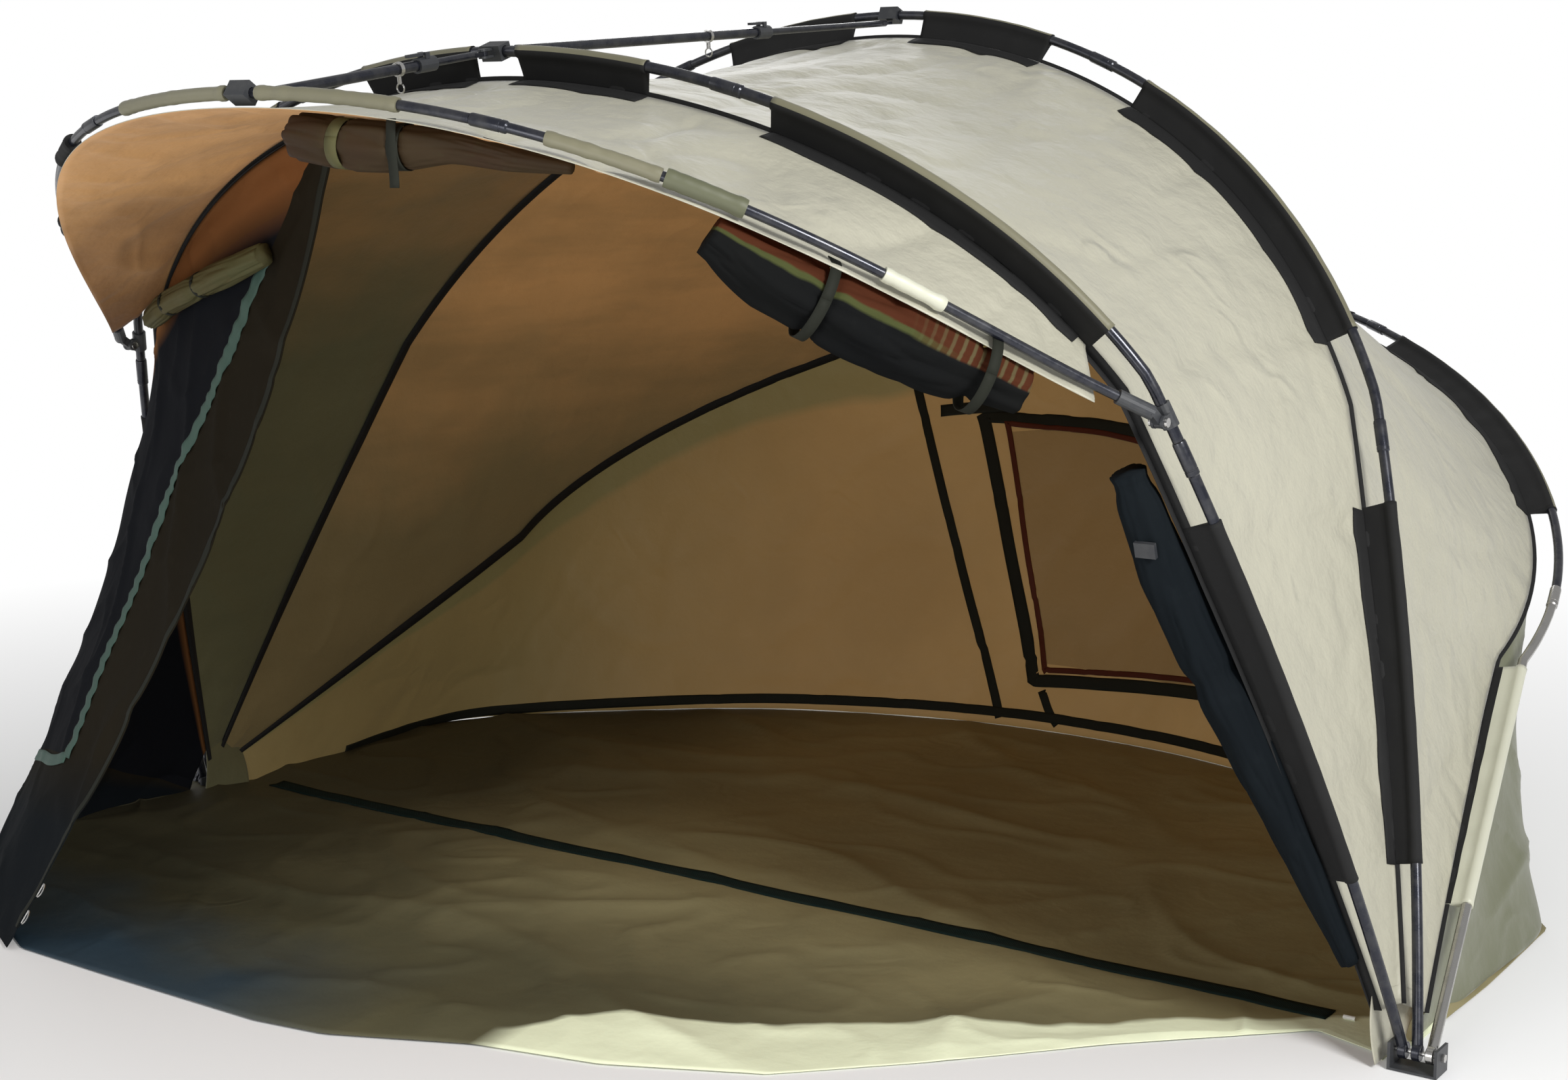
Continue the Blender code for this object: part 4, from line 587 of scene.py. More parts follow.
# Moulded and metal fittings: shoes, clamps, cups, crown blocks, collars, levers, bolts, hooks, rings.
# Black glass-filled nylon with a fine spark texture, and plated steel. The CAD nodes are shown as
# they are, with these finishes; the two ridge bars are lacquered like the poles.
NYLON_COLOUR = (0.030, 0.032, 0.036)
NYLON_DUST = (0.10, 0.10, 0.095)
PALE_TONES = ((0.80, 0.79, 0.75), (0.60, 0.58, 0.52))
MOULDED = Finish("moulded_plastic", NYLON_COLOUR, 0.45)
grain = MOULDED.noise(420, 2, 0.5)
dust = MOULDED.ramp(MOULDED.noise(30, 5, 0.6), (0.45, 0.0), (0.8, 1.0))
MOULDED.set("Base Color", MOULDED.mix(dust * 0.4, NYLON_COLOUR, NYLON_DUST))
MOULDED.set("Roughness", 0.42 + dust * 0.2)
MOULDED.set("Normal", MOULDED.bump(grain, 0.0003, 0.4))
PLATED = bare_steel("bright_steel", (0.62, 0.61, 0.59), 0.18)
PALE = Finish("pale_plastic", PALE_TONES[0], 0.4)
PALE.set("Base Color", PALE.mix(PALE.noise(60, 4) * 0.3, *PALE_TONES))
PLATED_NODES = (
    "pivot_bolt_right",
    "pivot_bolt_left",
    "swivel_bolt_right",
    "swivel_bolt_left",
    "peak_bar_hook",
    "main_bar_hook",
    "corner_ring_upper",
    "corner_ring_lower",
    "panel_zip_slider",
)
TUBE_NODES = ("peak_bar_rod", "peak_bar_sleeve", "main_bar_sleeve", "main_bar_rod")
for name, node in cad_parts.items():
    material = MOULDED.material
    if name in PLATED_NODES:
        material = PLATED
    elif name in TUBE_NODES:
        material = POLE
    elif name == "strap_toggle":
        material = PALE.material
    node.data.materials.clear()
    node.data.materials.append(material)

# Canopy: three panels of coated nylon strung between the ribs and the hoop.
# Khaki grey outside with a silky coating, tan inside with painted light: lighter towards the top where
# daylight comes through, painted shade towards the floor; pulled tight with creases that run from seam to
# seam.
CLOTH = 0.0012
CANOPY_SAG = 0.035
CANOPY_FOLD = 0.006
FOLD_TURNS = 14
FOLD_SLANT_SHARE = 0.12
SEAM_SIDE_GAP = 0.0017
CANOPY_FOOT_SHARE = 0.015
PEAK_FOOT_SHARE = 0.262
PEAK_HOOP_SHARE = 0.060
HOOP_CLOTH_INSET = 0.004
HOOP_CLOTH_DROP = 0.024
OUTER_COLOUR = (0.44, 0.425, 0.335)
# Inner tones: the sunlit ones are painted light at the top, where daylight comes through the cloth; the
# shaded ones are painted shade at the foot.
INNER_SUNLIT_TAN = (0.30, 0.155, 0.052)
INNER_SHADED_OLIVE = (0.082, 0.078, 0.038)
INNER_SUNLIT_BRIGHT = (0.46, 0.245, 0.090)
INNER_SHADED_BROWN = (0.150, 0.112, 0.048)
INNER_SHADED_RED = (0.16, 0.074, 0.026)
INNER_SUNLIT_PEAK = (0.50, 0.27, 0.105)


def crinkle(paint, depth, weave=0.00005):
    """Bump for thin coated cloth: a plain weave, small sharp crinkles and soft dents."""
    warp = paint.noise(3.5, 2)
    here = paint.node("VectorMath", {"operation": "ADD"}, {0: paint.places(), 1: warp})
    folds = paint.noise(5.5, 5, 0.55, "RIDGED_MULTIFRACTAL", at=here)
    soft = paint.noise(11, 4, 0.55)
    threads = paint.node("UVMap")
    lines = [
        paint.node("TexWave", {"bands_direction": way}, {"Vector": threads, "Scale": 260.0})
        for way in ("X", "Y")
    ]
    low = paint.bump(lines[0] + lines[1], weave, 0.5)
    mid = paint.bump(soft, depth, 0.6, low)
    return paint.bump(folds, depth * 0.5, 0.7, mid)


def coated_cloth(name, colour, patch, roughness, depth, sheen=0.25, gloss=0.5):
    """Coated nylon with slow changes of tone, scuffs in the coating, crinkles, and crease lines painted
    lighter: partly whitened coating, partly a painted highlight.
    """
    coating = {"Sheen_Weight": sheen, "Sheen_Roughness": 0.45, "Specular_IOR_Level": gloss}
    paint = Finish(name, colour, roughness, **coating)
    slow = paint.ramp(paint.noise(1.6, 4, 0.6), (0.35, 0.0), (0.68, 1.0))
    scuff = paint.ramp(paint.noise(34, 6, 0.7), (0.55, 0.0), (0.75, 1.0))
    # Crease lines painted lighter: partly the whitened coating, partly a painted highlight along the creases.
    ridges = paint.noise(4.5, 4, 0.5, "RIDGED_MULTIFRACTAL", stretch=(1, 0.5, 0.8))
    wear_and_highlight = paint.ramp(ridges, (0.74, 0.0), (0.97, 1.0))
    tone = paint.mix(wear_and_highlight * 0.45, paint.mix(slow * 0.55, colour, patch), shade(colour, 1.5))
    paint.set("Base Color", paint.mix(scuff * 0.18, tone, shade(patch, 1.35)))
    paint.set("Roughness", roughness + slow * 0.08 - scuff * 0.06)
    paint.set("Normal", crinkle(paint, depth))
    return paint


OUTER = coated_cloth("canopy_outside", OUTER_COLOUR, shade(OUTER_COLOUR, 0.80), 0.42, 0.020, 0.2)


def inside_cloth(name, top, foot, low, high):
    """The canopy's inner face: brown cloth with painted light, lit through from outside and painted lighter
    towards the top, painted shade darker towards the floor, and painted dark streaks of wrinkle shade.
    """
    paint = Finish(name, top, 0.62, Sheen_Weight=0.05)
    height = paint.axes(paint.places())[2]
    painted_light_up = paint.fade(height + paint.noise(2.2, 4, 0.55) * 0.5, low, high)
    patches = paint.ramp(paint.noise(1.1, 3, 0.5), (0.40, 0.0), (0.62, 1.0))
    # Painted shade: dark streaks where wrinkles shade the inner face.
    painted_wrinkle_shade = paint.ramp(paint.noise(2.6, 4, 0.6, stretch=(0.7, 0.7, 3.2)), (0.38, 0.0), (0.66, 1.0))
    tone = paint.mix(painted_light_up, paint.mix(patches * 0.5, foot, shade(foot, 0.72)), top)
    paint.lit_through(paint.mix(painted_wrinkle_shade * 0.42, tone, shade(foot, 0.80)), 0.20)
    paint.set("Normal", crinkle(paint, 0.012))
    return paint.material


INNER_FACES = {
    "canopy_front": inside_cloth("canopy_front_inside", INNER_SUNLIT_TAN, INNER_SHADED_OLIVE, 1.30, 1.90),
    "canopy_rear": inside_cloth("canopy_rear_inside", INNER_SUNLIT_BRIGHT, INNER_SHADED_BROWN, 0.85, 1.50),
    "canopy_peak": inside_cloth("canopy_peak_inside", INNER_SUNLIT_PEAK, INNER_SHADED_RED, 1.42, 1.72),
}


def swell(share):
    return 4 * share * (1 - share)


def pull_wave(along, across, seed):
    """The slanting waves that run across tight cloth from seam to seam."""
    turn = math.pi * FOLD_TURNS * (along + FOLD_SLANT_SHARE * across)
    return math.sin(turn + 3 * noise.noise(Vector((along * 5, across * 2, seed))))


def seam_position(along):
    return 2 * (CANOPY_FOOT_SHARE + (1 - 2 * CANOPY_FOOT_SHARE) * along)


def stretched(first, second, across, along, sag):
    middle = first.lerp(second, across)
    inward = Vector((-middle.x, 0, -middle.z)).normalized()
    fold = CANOPY_FOLD * swell(along) * pull_wave(along, across, 7)
    return middle + inward * (sag * swell(along) + fold) * swell(across)


def canopy_between(first, second):
    def place(along, across):
        position = seam_position(along)
        start = first.world(first.seam(position), SEAM_SIDE_GAP)
        end = second.world(second.seam(position), -SEAM_SIDE_GAP)
        return stretched(start, end, across, along, CANOPY_SAG)

    return place


def peak_place(along, across):
    share = 2 * (along - 1 / 2)
    rib_position = 1 + share * 2 * (1 / 2 - PEAK_FOOT_SHARE)
    hoop_position = 1 + share * (1 - PEAK_HOOP_SHARE)
    start = HOOP.world(HOOP.flat(hoop_position, HOOP_CLOTH_INSET), -HOOP_CLOTH_DROP)
    end = FRONT.world(FRONT.seam(rib_position), -SEAM_SIDE_GAP)
    return stretched(start, end, across, along, CANOPY_SAG / 2)


PUCKER_PITCH = 0.055
PUCKER_DEPTH = 0.0022
PUCKER_REACH = 0.050
SEAM_STIFF = 0.008
CREASE_DEPTH = 0.0080
CREASE_EDGE = 0.060
DENT_DEPTH = 0.0030


def ridge(place, scale, seed):
    """A crease field: 1 on sharp lines, falling to 0 between them."""
    return 1 - min(1.0, 3.0 * abs(noise.noise(place * scale + Vector((seed, 2 * seed, 0)))))


def crease_depth(place, across, width, seed):
    """How far a point of tight cloth stands off: seam puckers, pulls across and sharp creases."""
    edge = min(across, 1 - across) * width
    pucker = math.sin(2 * math.pi * place.length / PUCKER_PITCH + 4 * noise.noise(place * 3))
    pucker *= PUCKER_DEPTH * math.exp(-edge / PUCKER_REACH) * min(1.0, edge / SEAM_STIFF)
    free = min(1.0, edge / CREASE_EDGE)
    squeezed = Vector((place.x * 2.2, place.y * 0.9, place.z * 1.2))
    creases = ridge(squeezed, 2.1, seed) ** 3 + ridge(place, 5.5, seed + 5) ** 4 * 0.6
    dents = noise.noise(place * 4.0 + Vector((0, 0, seed))) * DENT_DEPTH
    return pucker + (creases * CREASE_DEPTH + dents) * free


def set_threads(bm, columns, length, widths):
    """A UV map in metres, so that threads keep their size where a strip narrows."""
    threads = bm.loops.layers.uv.new("UVMap")
    shares = bm.verts.layers.float_vector["shares"]
    for face in bm.faces:
        for loop in face.loops:
            along, across, _ = loop.vert[shares]
            width = widths[round(along * columns)]
            loop[threads].uv = (along * length, (across - 0.5) * width)


def cloth_grid(columns, rows, place, seed=None):
    """A fine sheet of cloth over place(), with threads; one that has a seed is creased too."""
    bm = grid(columns, rows, place)
    shares = bm.verts.layers.float_vector["shares"]
    middle = [place(index / columns, 0.5) for index in range(columns + 1)]
    length = along_lengths(middle)[-1]
    widths = []
    for index in range(columns + 1):
        ends = [place(index / columns, across) for across in (0, 0.5, 1)]
        widths.append((ends[1] - ends[0]).length + (ends[2] - ends[1]).length)
    bmesh.ops.recalc_face_normals(bm, faces=bm.faces)
    bm.normal_update()
    if seed is not None:
        moves = []
        for vertex in bm.verts:
            along, across, _ = vertex[shares]
            width = widths[round(along * columns)]
            moves.append(vertex.normal * crease_depth(vertex.co, across, width, seed))
        for vertex, move in zip(bm.verts, moves):
            vertex.co += move
    set_threads(bm, columns, length, widths)
    return bm, length, widths


def outward(bm, centre=Vector((0, 0.3, 0.4))):
    """Turns a sheet's faces away from a point inside the tent."""
    bm.normal_update()
    votes = 0
    for face in bm.faces:
        votes += (face.calc_center_median() - centre).dot(face.normal) * face.calc_area()
    if votes < 0:
        bmesh.ops.reverse_faces(bm, faces=bm.faces)
    return bm


def thicken(obj, thickness, inner=1, offset=0):
    """Gives a sheet its thickness; the faces turned inside take the second material."""
    solid = obj.modifiers.new("thickness", "SOLIDIFY")
    solid.thickness = thickness
    solid.offset = offset
    solid.material_offset = inner
    return obj


CANOPY_COLUMNS = 260
CANOPY_ROWS = 52
PEAK_ROWS = 34
canopies = (
    ("canopy_front", canopy_between(FRONT, MIDDLE), 3, CANOPY_ROWS),
    ("canopy_rear", canopy_between(MIDDLE, REAR), 11, CANOPY_ROWS),
    ("canopy_peak", peak_place, 17, PEAK_ROWS),
)
sheets, flats = {}, {}
for name, place, seed, rows in canopies:
    bm, length, widths = cloth_grid(CANOPY_COLUMNS, rows, place, seed)
    faces = (OUTER.material, INNER_FACES[name])
    sheets[name] = piece("visual_" + name, outward(bm), *faces, slot="canopy_fabric", replaces=(name,))
    thicken(sheets[name], CLOTH)
    flats[name] = (max(widths), length)

# Wings: charcoal nylon sleeves round the ribs, with a strip that ties the canopy to them.
# Each sleeve is a closed loop of cloth. Between the sleeves the pole is bare, and only a narrow
# binding and a tape run on.
WING_COLOUR = (0.015, 0.015, 0.015)
SLEEVE_COLOUR = (0.17, 0.16, 0.10)
PALE_COLOUR = (0.55, 0.55, 0.44)
WING = coated_cloth("wing_cloth", WING_COLOUR, shade(WING_COLOUR, 1.6), 0.70, 0.003, 0.02, 0.12)
SLEEVE = coated_cloth("sleeve_cloth", SLEEVE_COLOUR, shade(SLEEVE_COLOUR, 0.7), 0.5, 0.003, 0.1)
PALE_SLEEVE = coated_cloth("pale_sleeve_cloth", PALE_COLOUR, shade(PALE_COLOUR, 0.8), 0.4, 0.004, 0.1)
# Painted light: on the front and middle ribs the khaki band covers only the side of the sleeve round the pole
# that faces the light, partly khaki cloth and partly a painted lit top; the rear rib's low sleeve is pale all
# round, partly pale cloth and partly a painted sunlit sheen.
SLEEVE_TONES = {"front": (0, 1, 1), "middle": (0, 1, 1), "rear": (2, 1, 1)}
LIT_FROM = 3.3
LIT_TO = 6.7
SLEEVE_SHARES = {
    "front": ((0.130, 0.386), (0.521, 0.779), (0.875, 0.980)),
    "middle": ((0.118, 0.358), (0.486, 0.752), (0.847, 0.967)),
    "rear": ((0.113, 0.325), (0.499, 0.772), (0.832, 0.960)),
}
SLEEVE_RADIUS = 0.0113
SLEEVE_ROUND = 11
SLEEVE_OPEN_DEGREES = 30
SLEEVE_HEM = 0.0008
SLEEVE_HEM_FADE = 0.0002
SLEEVE_WOBBLE = 0.0006
SLEEVE_STEP = 0.010
PLEAT_DEPTH = 0.0030
SEAM_OVERLAP = 0.0070
BINDING_HALF = 0.0080
BINDING_THICKNESS = 0.0016
TAPE_DROP = 0.0085
TAPE_THICKNESS = 0.0010
RIBBON_STEP = 0.012
TAPE_HALF = 0.012
WING_TIP_HALF = 0.0008


def rib_axes(rib, position):
    """A rib's pole centre, the way inwards in its plane, and the way behind it."""
    here = rib.world(rib.flat(position))
    inward = (rib.world(rib.flat(position, 0.02)) - here).normalized()
    behind = rib.world(rib.flat(position), 0.01) - here
    return here, inward, behind.normalized()


def wing_loop(rib, position, end_share, seed):
    """One section of a sleeve: round the pole, then flat to the seam and back."""
    here, inward, behind = rib_axes(rib, position)
    tip = rib.seam_inset(position) + SEAM_OVERLAP
    hem = SLEEVE_HEM * math.exp(-(((end_share - 0.5) ** 2 - 0.25) ** 2) / SLEEVE_HEM_FADE)
    radius = SLEEVE_RADIUS + hem + SLEEVE_WOBBLE * noise.noise(Vector((position * 60, seed, 0)))
    loop = []
    for step in range(SLEEVE_ROUND):
        turned = SLEEVE_OPEN_DEGREES + (360 - 2 * SLEEVE_OPEN_DEGREES) * step / (SLEEVE_ROUND - 1)
        turn = math.radians(turned)
        loop.append(here + inward * (radius * math.cos(turn)) + behind * (radius * math.sin(turn)))
    pleat = PLEAT_DEPTH * noise.noise(Vector((position * 55, seed, 3))) * swell(end_share) ** 0.3
    flats = []
    for share in (0.25, 0.5, 0.75, 1.0):
        depth = radius * math.cos(math.radians(SLEEVE_OPEN_DEGREES)) * (1 - share) + tip * share
        half = radius * 0.5 * (1 - share) ** 2 + WING_TIP_HALF
        flats.append((depth, half, pleat * swell(share)))
    loop += [here + inward * depth - behind * (half - lean) for depth, half, lean in flats]
    loop += [here + inward * depth + behind * (half + lean) for depth, half, lean in reversed(flats)]
    return loop


def sleeve(rib, low, high, seed, tone):
    """A sleeve from low to high; the cloth round the pole takes the material tone."""
    count = int((high - low) * rib.length / SLEEVE_STEP)
    loops = []
    for index in range(count + 1):
        share = index / count
        loops.append(wing_loop(rib, low + (high - low) * share, share, seed))
    points = len(loops[0])

    def place(along, around):
        index = round(along * count)
        return loops[index][round(around * points) % points]

    bm = grid(count, points, place)
    shares = bm.verts.layers.float_vector["shares"]
    for face in bm.faces:
        around = sum(vertex[shares].y for vertex in face.verts) / len(face.verts)
        # Painted lit top: the faces between LIT_FROM and LIT_TO take the khaki cloth.
        lit = tone == 2 or LIT_FROM < around * points < LIT_TO
        face.material_index = tone if lit and around * points < SLEEVE_ROUND + 1 else 0
    return close(bm)


def ribbon(rib, place):
    """A thin closed strip along a rib; place gives its two edges and its thickness direction."""
    start, end = 2 * CANOPY_FOOT_SHARE, 2 - 2 * CANOPY_FOOT_SHARE
    count = int((end - start) * rib.length / RIBBON_STEP)

    def corner(along, around):
        first, second, out = place(start + (end - start) * along)
        corners = (first, second, second + out, first + out)
        return corners[round(around * 4) % 4]

    return close(grid(count, 4, corner))


def build_wing(rib, body, seed):
    bm = bmesh.new()
    for (low, high), tone in zip(SLEEVE_SHARES[rib.name], SLEEVE_TONES[rib.name]):
        append(bm, sleeve(rib, low, high, seed, tone))
        append(bm, sleeve(rib, 2 - high, 2 - low, seed + 9, tone))

    def binding(position):
        here, inward, behind = rib_axes(rib, position)
        middle = here + inward * rib.seam_inset(position) - behind * (BINDING_THICKNESS / 2)
        half = inward * BINDING_HALF
        return middle - half, middle + half, behind * BINDING_THICKNESS

    def tape(position):
        here, inward, behind = rib_axes(rib, position)
        middle = here + inward * (rib.seam_inset(position) + TAPE_DROP)
        half = TAPE_HALF * min(1.0, 0.35 + min(position, 2 - position) * 3)
        return middle - behind * half, middle + behind * half, inward * TAPE_THICKNESS

    append(bm, ribbon(rib, binding))
    append(bm, ribbon(rib, tape))
    name = rib.name + "_rib_wing"
    cloths = (WING.material, SLEEVE.material, PALE_SLEEVE.material)
    return piece("visual_" + name, bm, *cloths, body=body, slot="trim_fabric", replaces=(name,))


for rib, body, seed in ((FRONT, "front_rib", 1), (MIDDLE, "middle_rib", 2), (REAR, "rear_rib", 3)):
    build_wing(rib, body, seed)

# Groundsheet: heavy coated sheet, laid out loose with soft humps and sharp creases.
# Its front right edge is painted pale as sunlight, and its front and left are painted darker as shadow; a
# webbing strap crosses it.
FLOOR_SIDE_HALF = 1.440
FLOOR_SIDE_DEPTH = 0.060
FLOOR_REAR_DEPTH = 1.555
FLOOR_MARGIN = 0.010
FLOOR_FRONT_DEPTH = 0.940
FLOOR_FRONT_SHARES = (
    (-1.005, -0.070),
    (-1.045, -0.160),
    (-1.062, -0.303),
    (-1.008, -0.600),
    (-0.862, -0.845),
    (-0.664, -0.990),
    (-0.495, -0.996),
    (-0.204, -1.000),
    (-0.100, -0.976),
    (0.075, -0.857),
    (0.240, -0.800),
    (0.420, -0.670),
    (0.560, -0.460),
    (0.711, -0.205),
    (0.900, 0.070),
    (0.985, 0.030),
)
WALL_BASE_SHARES = (
    (1.008, 0.065),
    (1.014, 0.290),
    (1.010, 0.515),
    (0.915, 0.640),
    (0.760, 0.770),
    (0.580, 0.890),
    (0.390, 0.965),
    (0.200, 1.012),
    (0.0, 1.026),
)
FLOOR_THICKNESS = 0.0012
FLOOR_LIFT = 0.0028
STRAP_DEPTH = 0.140
FLOOR_SHEET_COLOUR = (0.270, 0.235, 0.120)
FLOOR_LEFT_SHADOW = (0.036, 0.034, 0.020)
FLOOR_FRONT_SHADOW = (0.062, 0.060, 0.034)
FLOOR_BLUE = (0.016, 0.040, 0.066)
FLOOR_SUNLIT = (0.80, 0.84, 0.60)


front_edge = [Vector((-FLOOR_SIDE_HALF, 0, 0))]
front_edge += [Vector((FLOOR_SIDE_HALF * x, FLOOR_FRONT_DEPTH * y, 0)) for x, y in FLOOR_FRONT_SHARES]
front_edge += [Vector((FLOOR_SIDE_HALF, 0, 0))]
FRONT_EDGE = front_edge, along_lengths(front_edge)
side = FLOOR_SIDE_HALF + FLOOR_MARGIN
rear = FLOOR_REAR_DEPTH + FLOOR_MARGIN
right_edge = [Vector((FLOOR_SIDE_HALF, FLOOR_SIDE_DEPTH, 0))]
right_edge += [Vector((side * x, rear * y, 0)) for x, y in WALL_BASE_SHARES]
left_edge = [Vector((-place.x, place.y, 0)) for place in right_edge[:-1]]
rear_edge = left_edge + list(reversed(right_edge))
REAR_EDGE = rear_edge, along_lengths(rear_edge)


def floor_height(x, y):
    """The groundsheet's surface over the ground: humps, ridges and creases."""
    here = Vector((x, y, 0))
    hump = max(0.0, noise.noise(here * 1.7 + Vector((3, 1, 0)))) * 0.030
    fold = ridge(Vector((x * 0.8, y * 1.6, 0)), 1.5, 4) ** 3 * 0.012
    fine = ridge(here, 4.2, 9) ** 4 * 0.006 + noise.noise(here * 9) * 0.0015
    return 0.0047 + hump + fold + fine


def pressed_floor(x, y, edge=1.0):
    """The floor's height where the strap presses it flat; edge eases it down at the hem."""
    rest = 0.25 + 0.75 * min(1.0, abs(y - STRAP_DEPTH) / 0.12)
    return FLOOR_LIFT + (floor_height(x, y) - FLOOR_LIFT) * edge * rest


def floor_place(along, across):
    front = sample(*FRONT_EDGE, along * FRONT_EDGE[1][-1])
    back = sample(*REAR_EDGE, along * REAR_EDGE[1][-1])
    place = front.lerp(back, across)
    edge = min(1.0, min(across, 1 - across) / 0.05 * 0.8 + 0.05)
    edge *= min(1.0, min(along, 1 - along) / 0.04 + 0.02)
    place.z = pressed_floor(place.x, place.y, edge)
    return place


def upward(bm):
    """Turns a laid sheet's faces up."""
    bm.normal_update()
    if sum(face.normal.z for face in bm.faces) < 0:
        bmesh.ops.reverse_faces(bm, faces=bm.faces)
    return bm


SHEET = coated_cloth("floor_sheet", FLOOR_SHEET_COLOUR, shade(FLOOR_SHEET_COLOUR, 0.6), 0.50, 0.006, 0.0, 0.3)
floor_x, floor_y, _ = SHEET.axes(SHEET.places())
wander = SHEET.noise(2.2, 4) * 0.5
# Painted sunlight: a pale strip along the front right edge, beyond this line.
sun_edge_line = floor_y - floor_x * 0.72 + SHEET.noise(3.0, 3) * 0.16
painted_sunlit_strip = SHEET.fade(sun_edge_line, -0.715, -0.735) * SHEET.fade(floor_x, 0.10, 0.16)
near_left = SHEET.fade(floor_y + wander, -0.30, -0.62) * SHEET.fade(floor_x, -0.10, -0.45)
# Painted shadow: the sheet is darker towards the front, and on the next line darker towards the left.
tone = SHEET.mix(SHEET.fade(floor_y + wander, 0.32, -0.25) * 0.85, SHEET.base(), FLOOR_FRONT_SHADOW)
tone = SHEET.mix(SHEET.fade(floor_x + wander, -0.15, -0.75) * 0.85, tone, FLOOR_LEFT_SHADOW)
tone = SHEET.mix(near_left * 0.8, tone, FLOOR_BLUE)
SHEET.set("Base Color", SHEET.mix(painted_sunlit_strip, tone, FLOOR_SUNLIT))
bm = upward(cloth_grid(230, 170, floor_place)[0])
floor_area = sum(face.calc_area() for face in bm.faces)
stands_for = {"body": "ground", "slot": "floor_sheet", "replaces": ("groundsheet",)}
groundsheet = thicken(piece("visual_groundsheet", bm, SHEET.material, **stands_for), FLOOR_THICKNESS, 0, -1)

# Floor strap: dark green woven webbing, laid over the groundsheet from side to side.
# It presses the sheet flat under it.
STRAP_WIDTH = 0.048
STRAP_THICKNESS = 0.0018
STRAP_LIFT = 0.0022
STRAP_WANDER = 0.006
STRAP_LEFT = 1.380
STRAP_RIGHT = 1.290
WEB_COLOUR = (0.008, 0.020, 0.018)
WEB_DIRT = (0.04, 0.04, 0.03)
WEB = Finish("webbing", WEB_COLOUR, 0.85, Specular_IOR_Level=0.1)
threads = WEB.node("UVMap")
ribs = WEB.node("TexWave", {"bands_direction": "X"}, {"Vector": threads, "Scale": 150.0, "Distortion": 0.6})
slant = WEB.node("TexWave", {"bands_direction": "DIAGONAL"}, {"Vector": threads, "Scale": 112.5})
dirt = WEB.ramp(WEB.noise(14, 5, 0.6), (0.4, 0.0), (0.75, 1.0))
tone = WEB.mix(ribs * 0.5, shade(WEB_COLOUR, 0.7), shade(WEB_COLOUR, 1.4))
WEB.set("Base Color", WEB.mix(dirt * 0.2, tone, WEB_DIRT))
WEB.set("Normal", WEB.bump(ribs + slant, 0.0006, 0.6))


def strap_place(along, across):
    x = -STRAP_LEFT + (STRAP_LEFT + STRAP_RIGHT) * along
    wander = STRAP_WANDER * noise.noise(Vector((x * 2, 0, 0)))
    y = STRAP_DEPTH + STRAP_WIDTH * (across - 0.5) + wander
    return Vector((x, y, max(pressed_floor(x, STRAP_DEPTH), pressed_floor(x, y)) + STRAP_LIFT))


bm = upward(cloth_grid(220, 4, strap_place)[0])
stands_for = {"body": "ground", "slot": "webbing", "replaces": ("floor_strap",)}
strap = thicken(piece("visual_floor_strap", bm, WEB.material, **stands_for), STRAP_THICKNESS, 0, -1)

# Rear wall: coated cloth from the rear rib's seam down to the edge of the groundsheet.
# Olive outside, partly olive cloth and partly painted shade, and tan inside, with a painted olive band of
# wing shadow along the top, painted shade towards its left end, and a darker window pane.
WALL_SIDE_GAP = 0.0026
WALL_HEIGHT = 0.0048
wall_right = [Vector((FLOOR_SIDE_HALF * x, FLOOR_REAR_DEPTH * y, WALL_HEIGHT)) for x, y in WALL_BASE_SHARES]
wall_left = [Vector((-place.x, place.y, place.z)) for place in reversed(wall_right[:-1])]


def even_path(points, steps=8):
    path = smooth_path(points, steps)
    return path, along_lengths(path)


WALL_BASE = even_path(wall_right + wall_left)


def wall_place(along, across):
    top = REAR.world(REAR.seam(seam_position(along)), WALL_SIDE_GAP)
    bottom = sample(*WALL_BASE, along * WALL_BASE[1][-1])
    middle = top.lerp(bottom, across)
    inward = Vector((-middle.x, -middle.y, 0)).normalized()
    sag = CANOPY_SAG / 2 + CANOPY_FOLD * pull_wave(along, across, 1)
    return middle + inward * sag * swell(across) * swell(along)


# The outside colour is partly olive cloth and partly painted shade.
WALL_OUTER_SHADED_COLOUR = (0.140, 0.146, 0.086)
WALL_INNER_COLOUR = (0.36, 0.225, 0.085)
WALL_SHADOW_OLIVE = (0.17, 0.155, 0.062)
OLIVE_CLOTH = coated_cloth("rear_wall_outside", WALL_OUTER_SHADED_COLOUR, shade(WALL_OUTER_SHADED_COLOUR, 0.8), 0.5, 0.006)
WALL = coated_cloth("rear_wall_inside", WALL_INNER_COLOUR, shade(WALL_INNER_COLOUR, 0.7), 0.62, 0.010, 0.05)
wall_along, wall_across, _ = WALL.shares()
# Painted wing shadow: an olive band along the top, where the wing keeps daylight off the cloth.
painted_wing_shadow = WALL.fade(wall_across + WALL.noise(1.6, 3) * 0.22, 0.27, 0.235)
pane = (wall_along > 0.430) * (wall_along < 0.594 - wall_across * 0.080)
pane = pane * (wall_across > 0.315) * (wall_across < 0.855)
tone = WALL.mix(painted_wing_shadow * 0.75, WALL.base(), WALL_SHADOW_OLIVE)
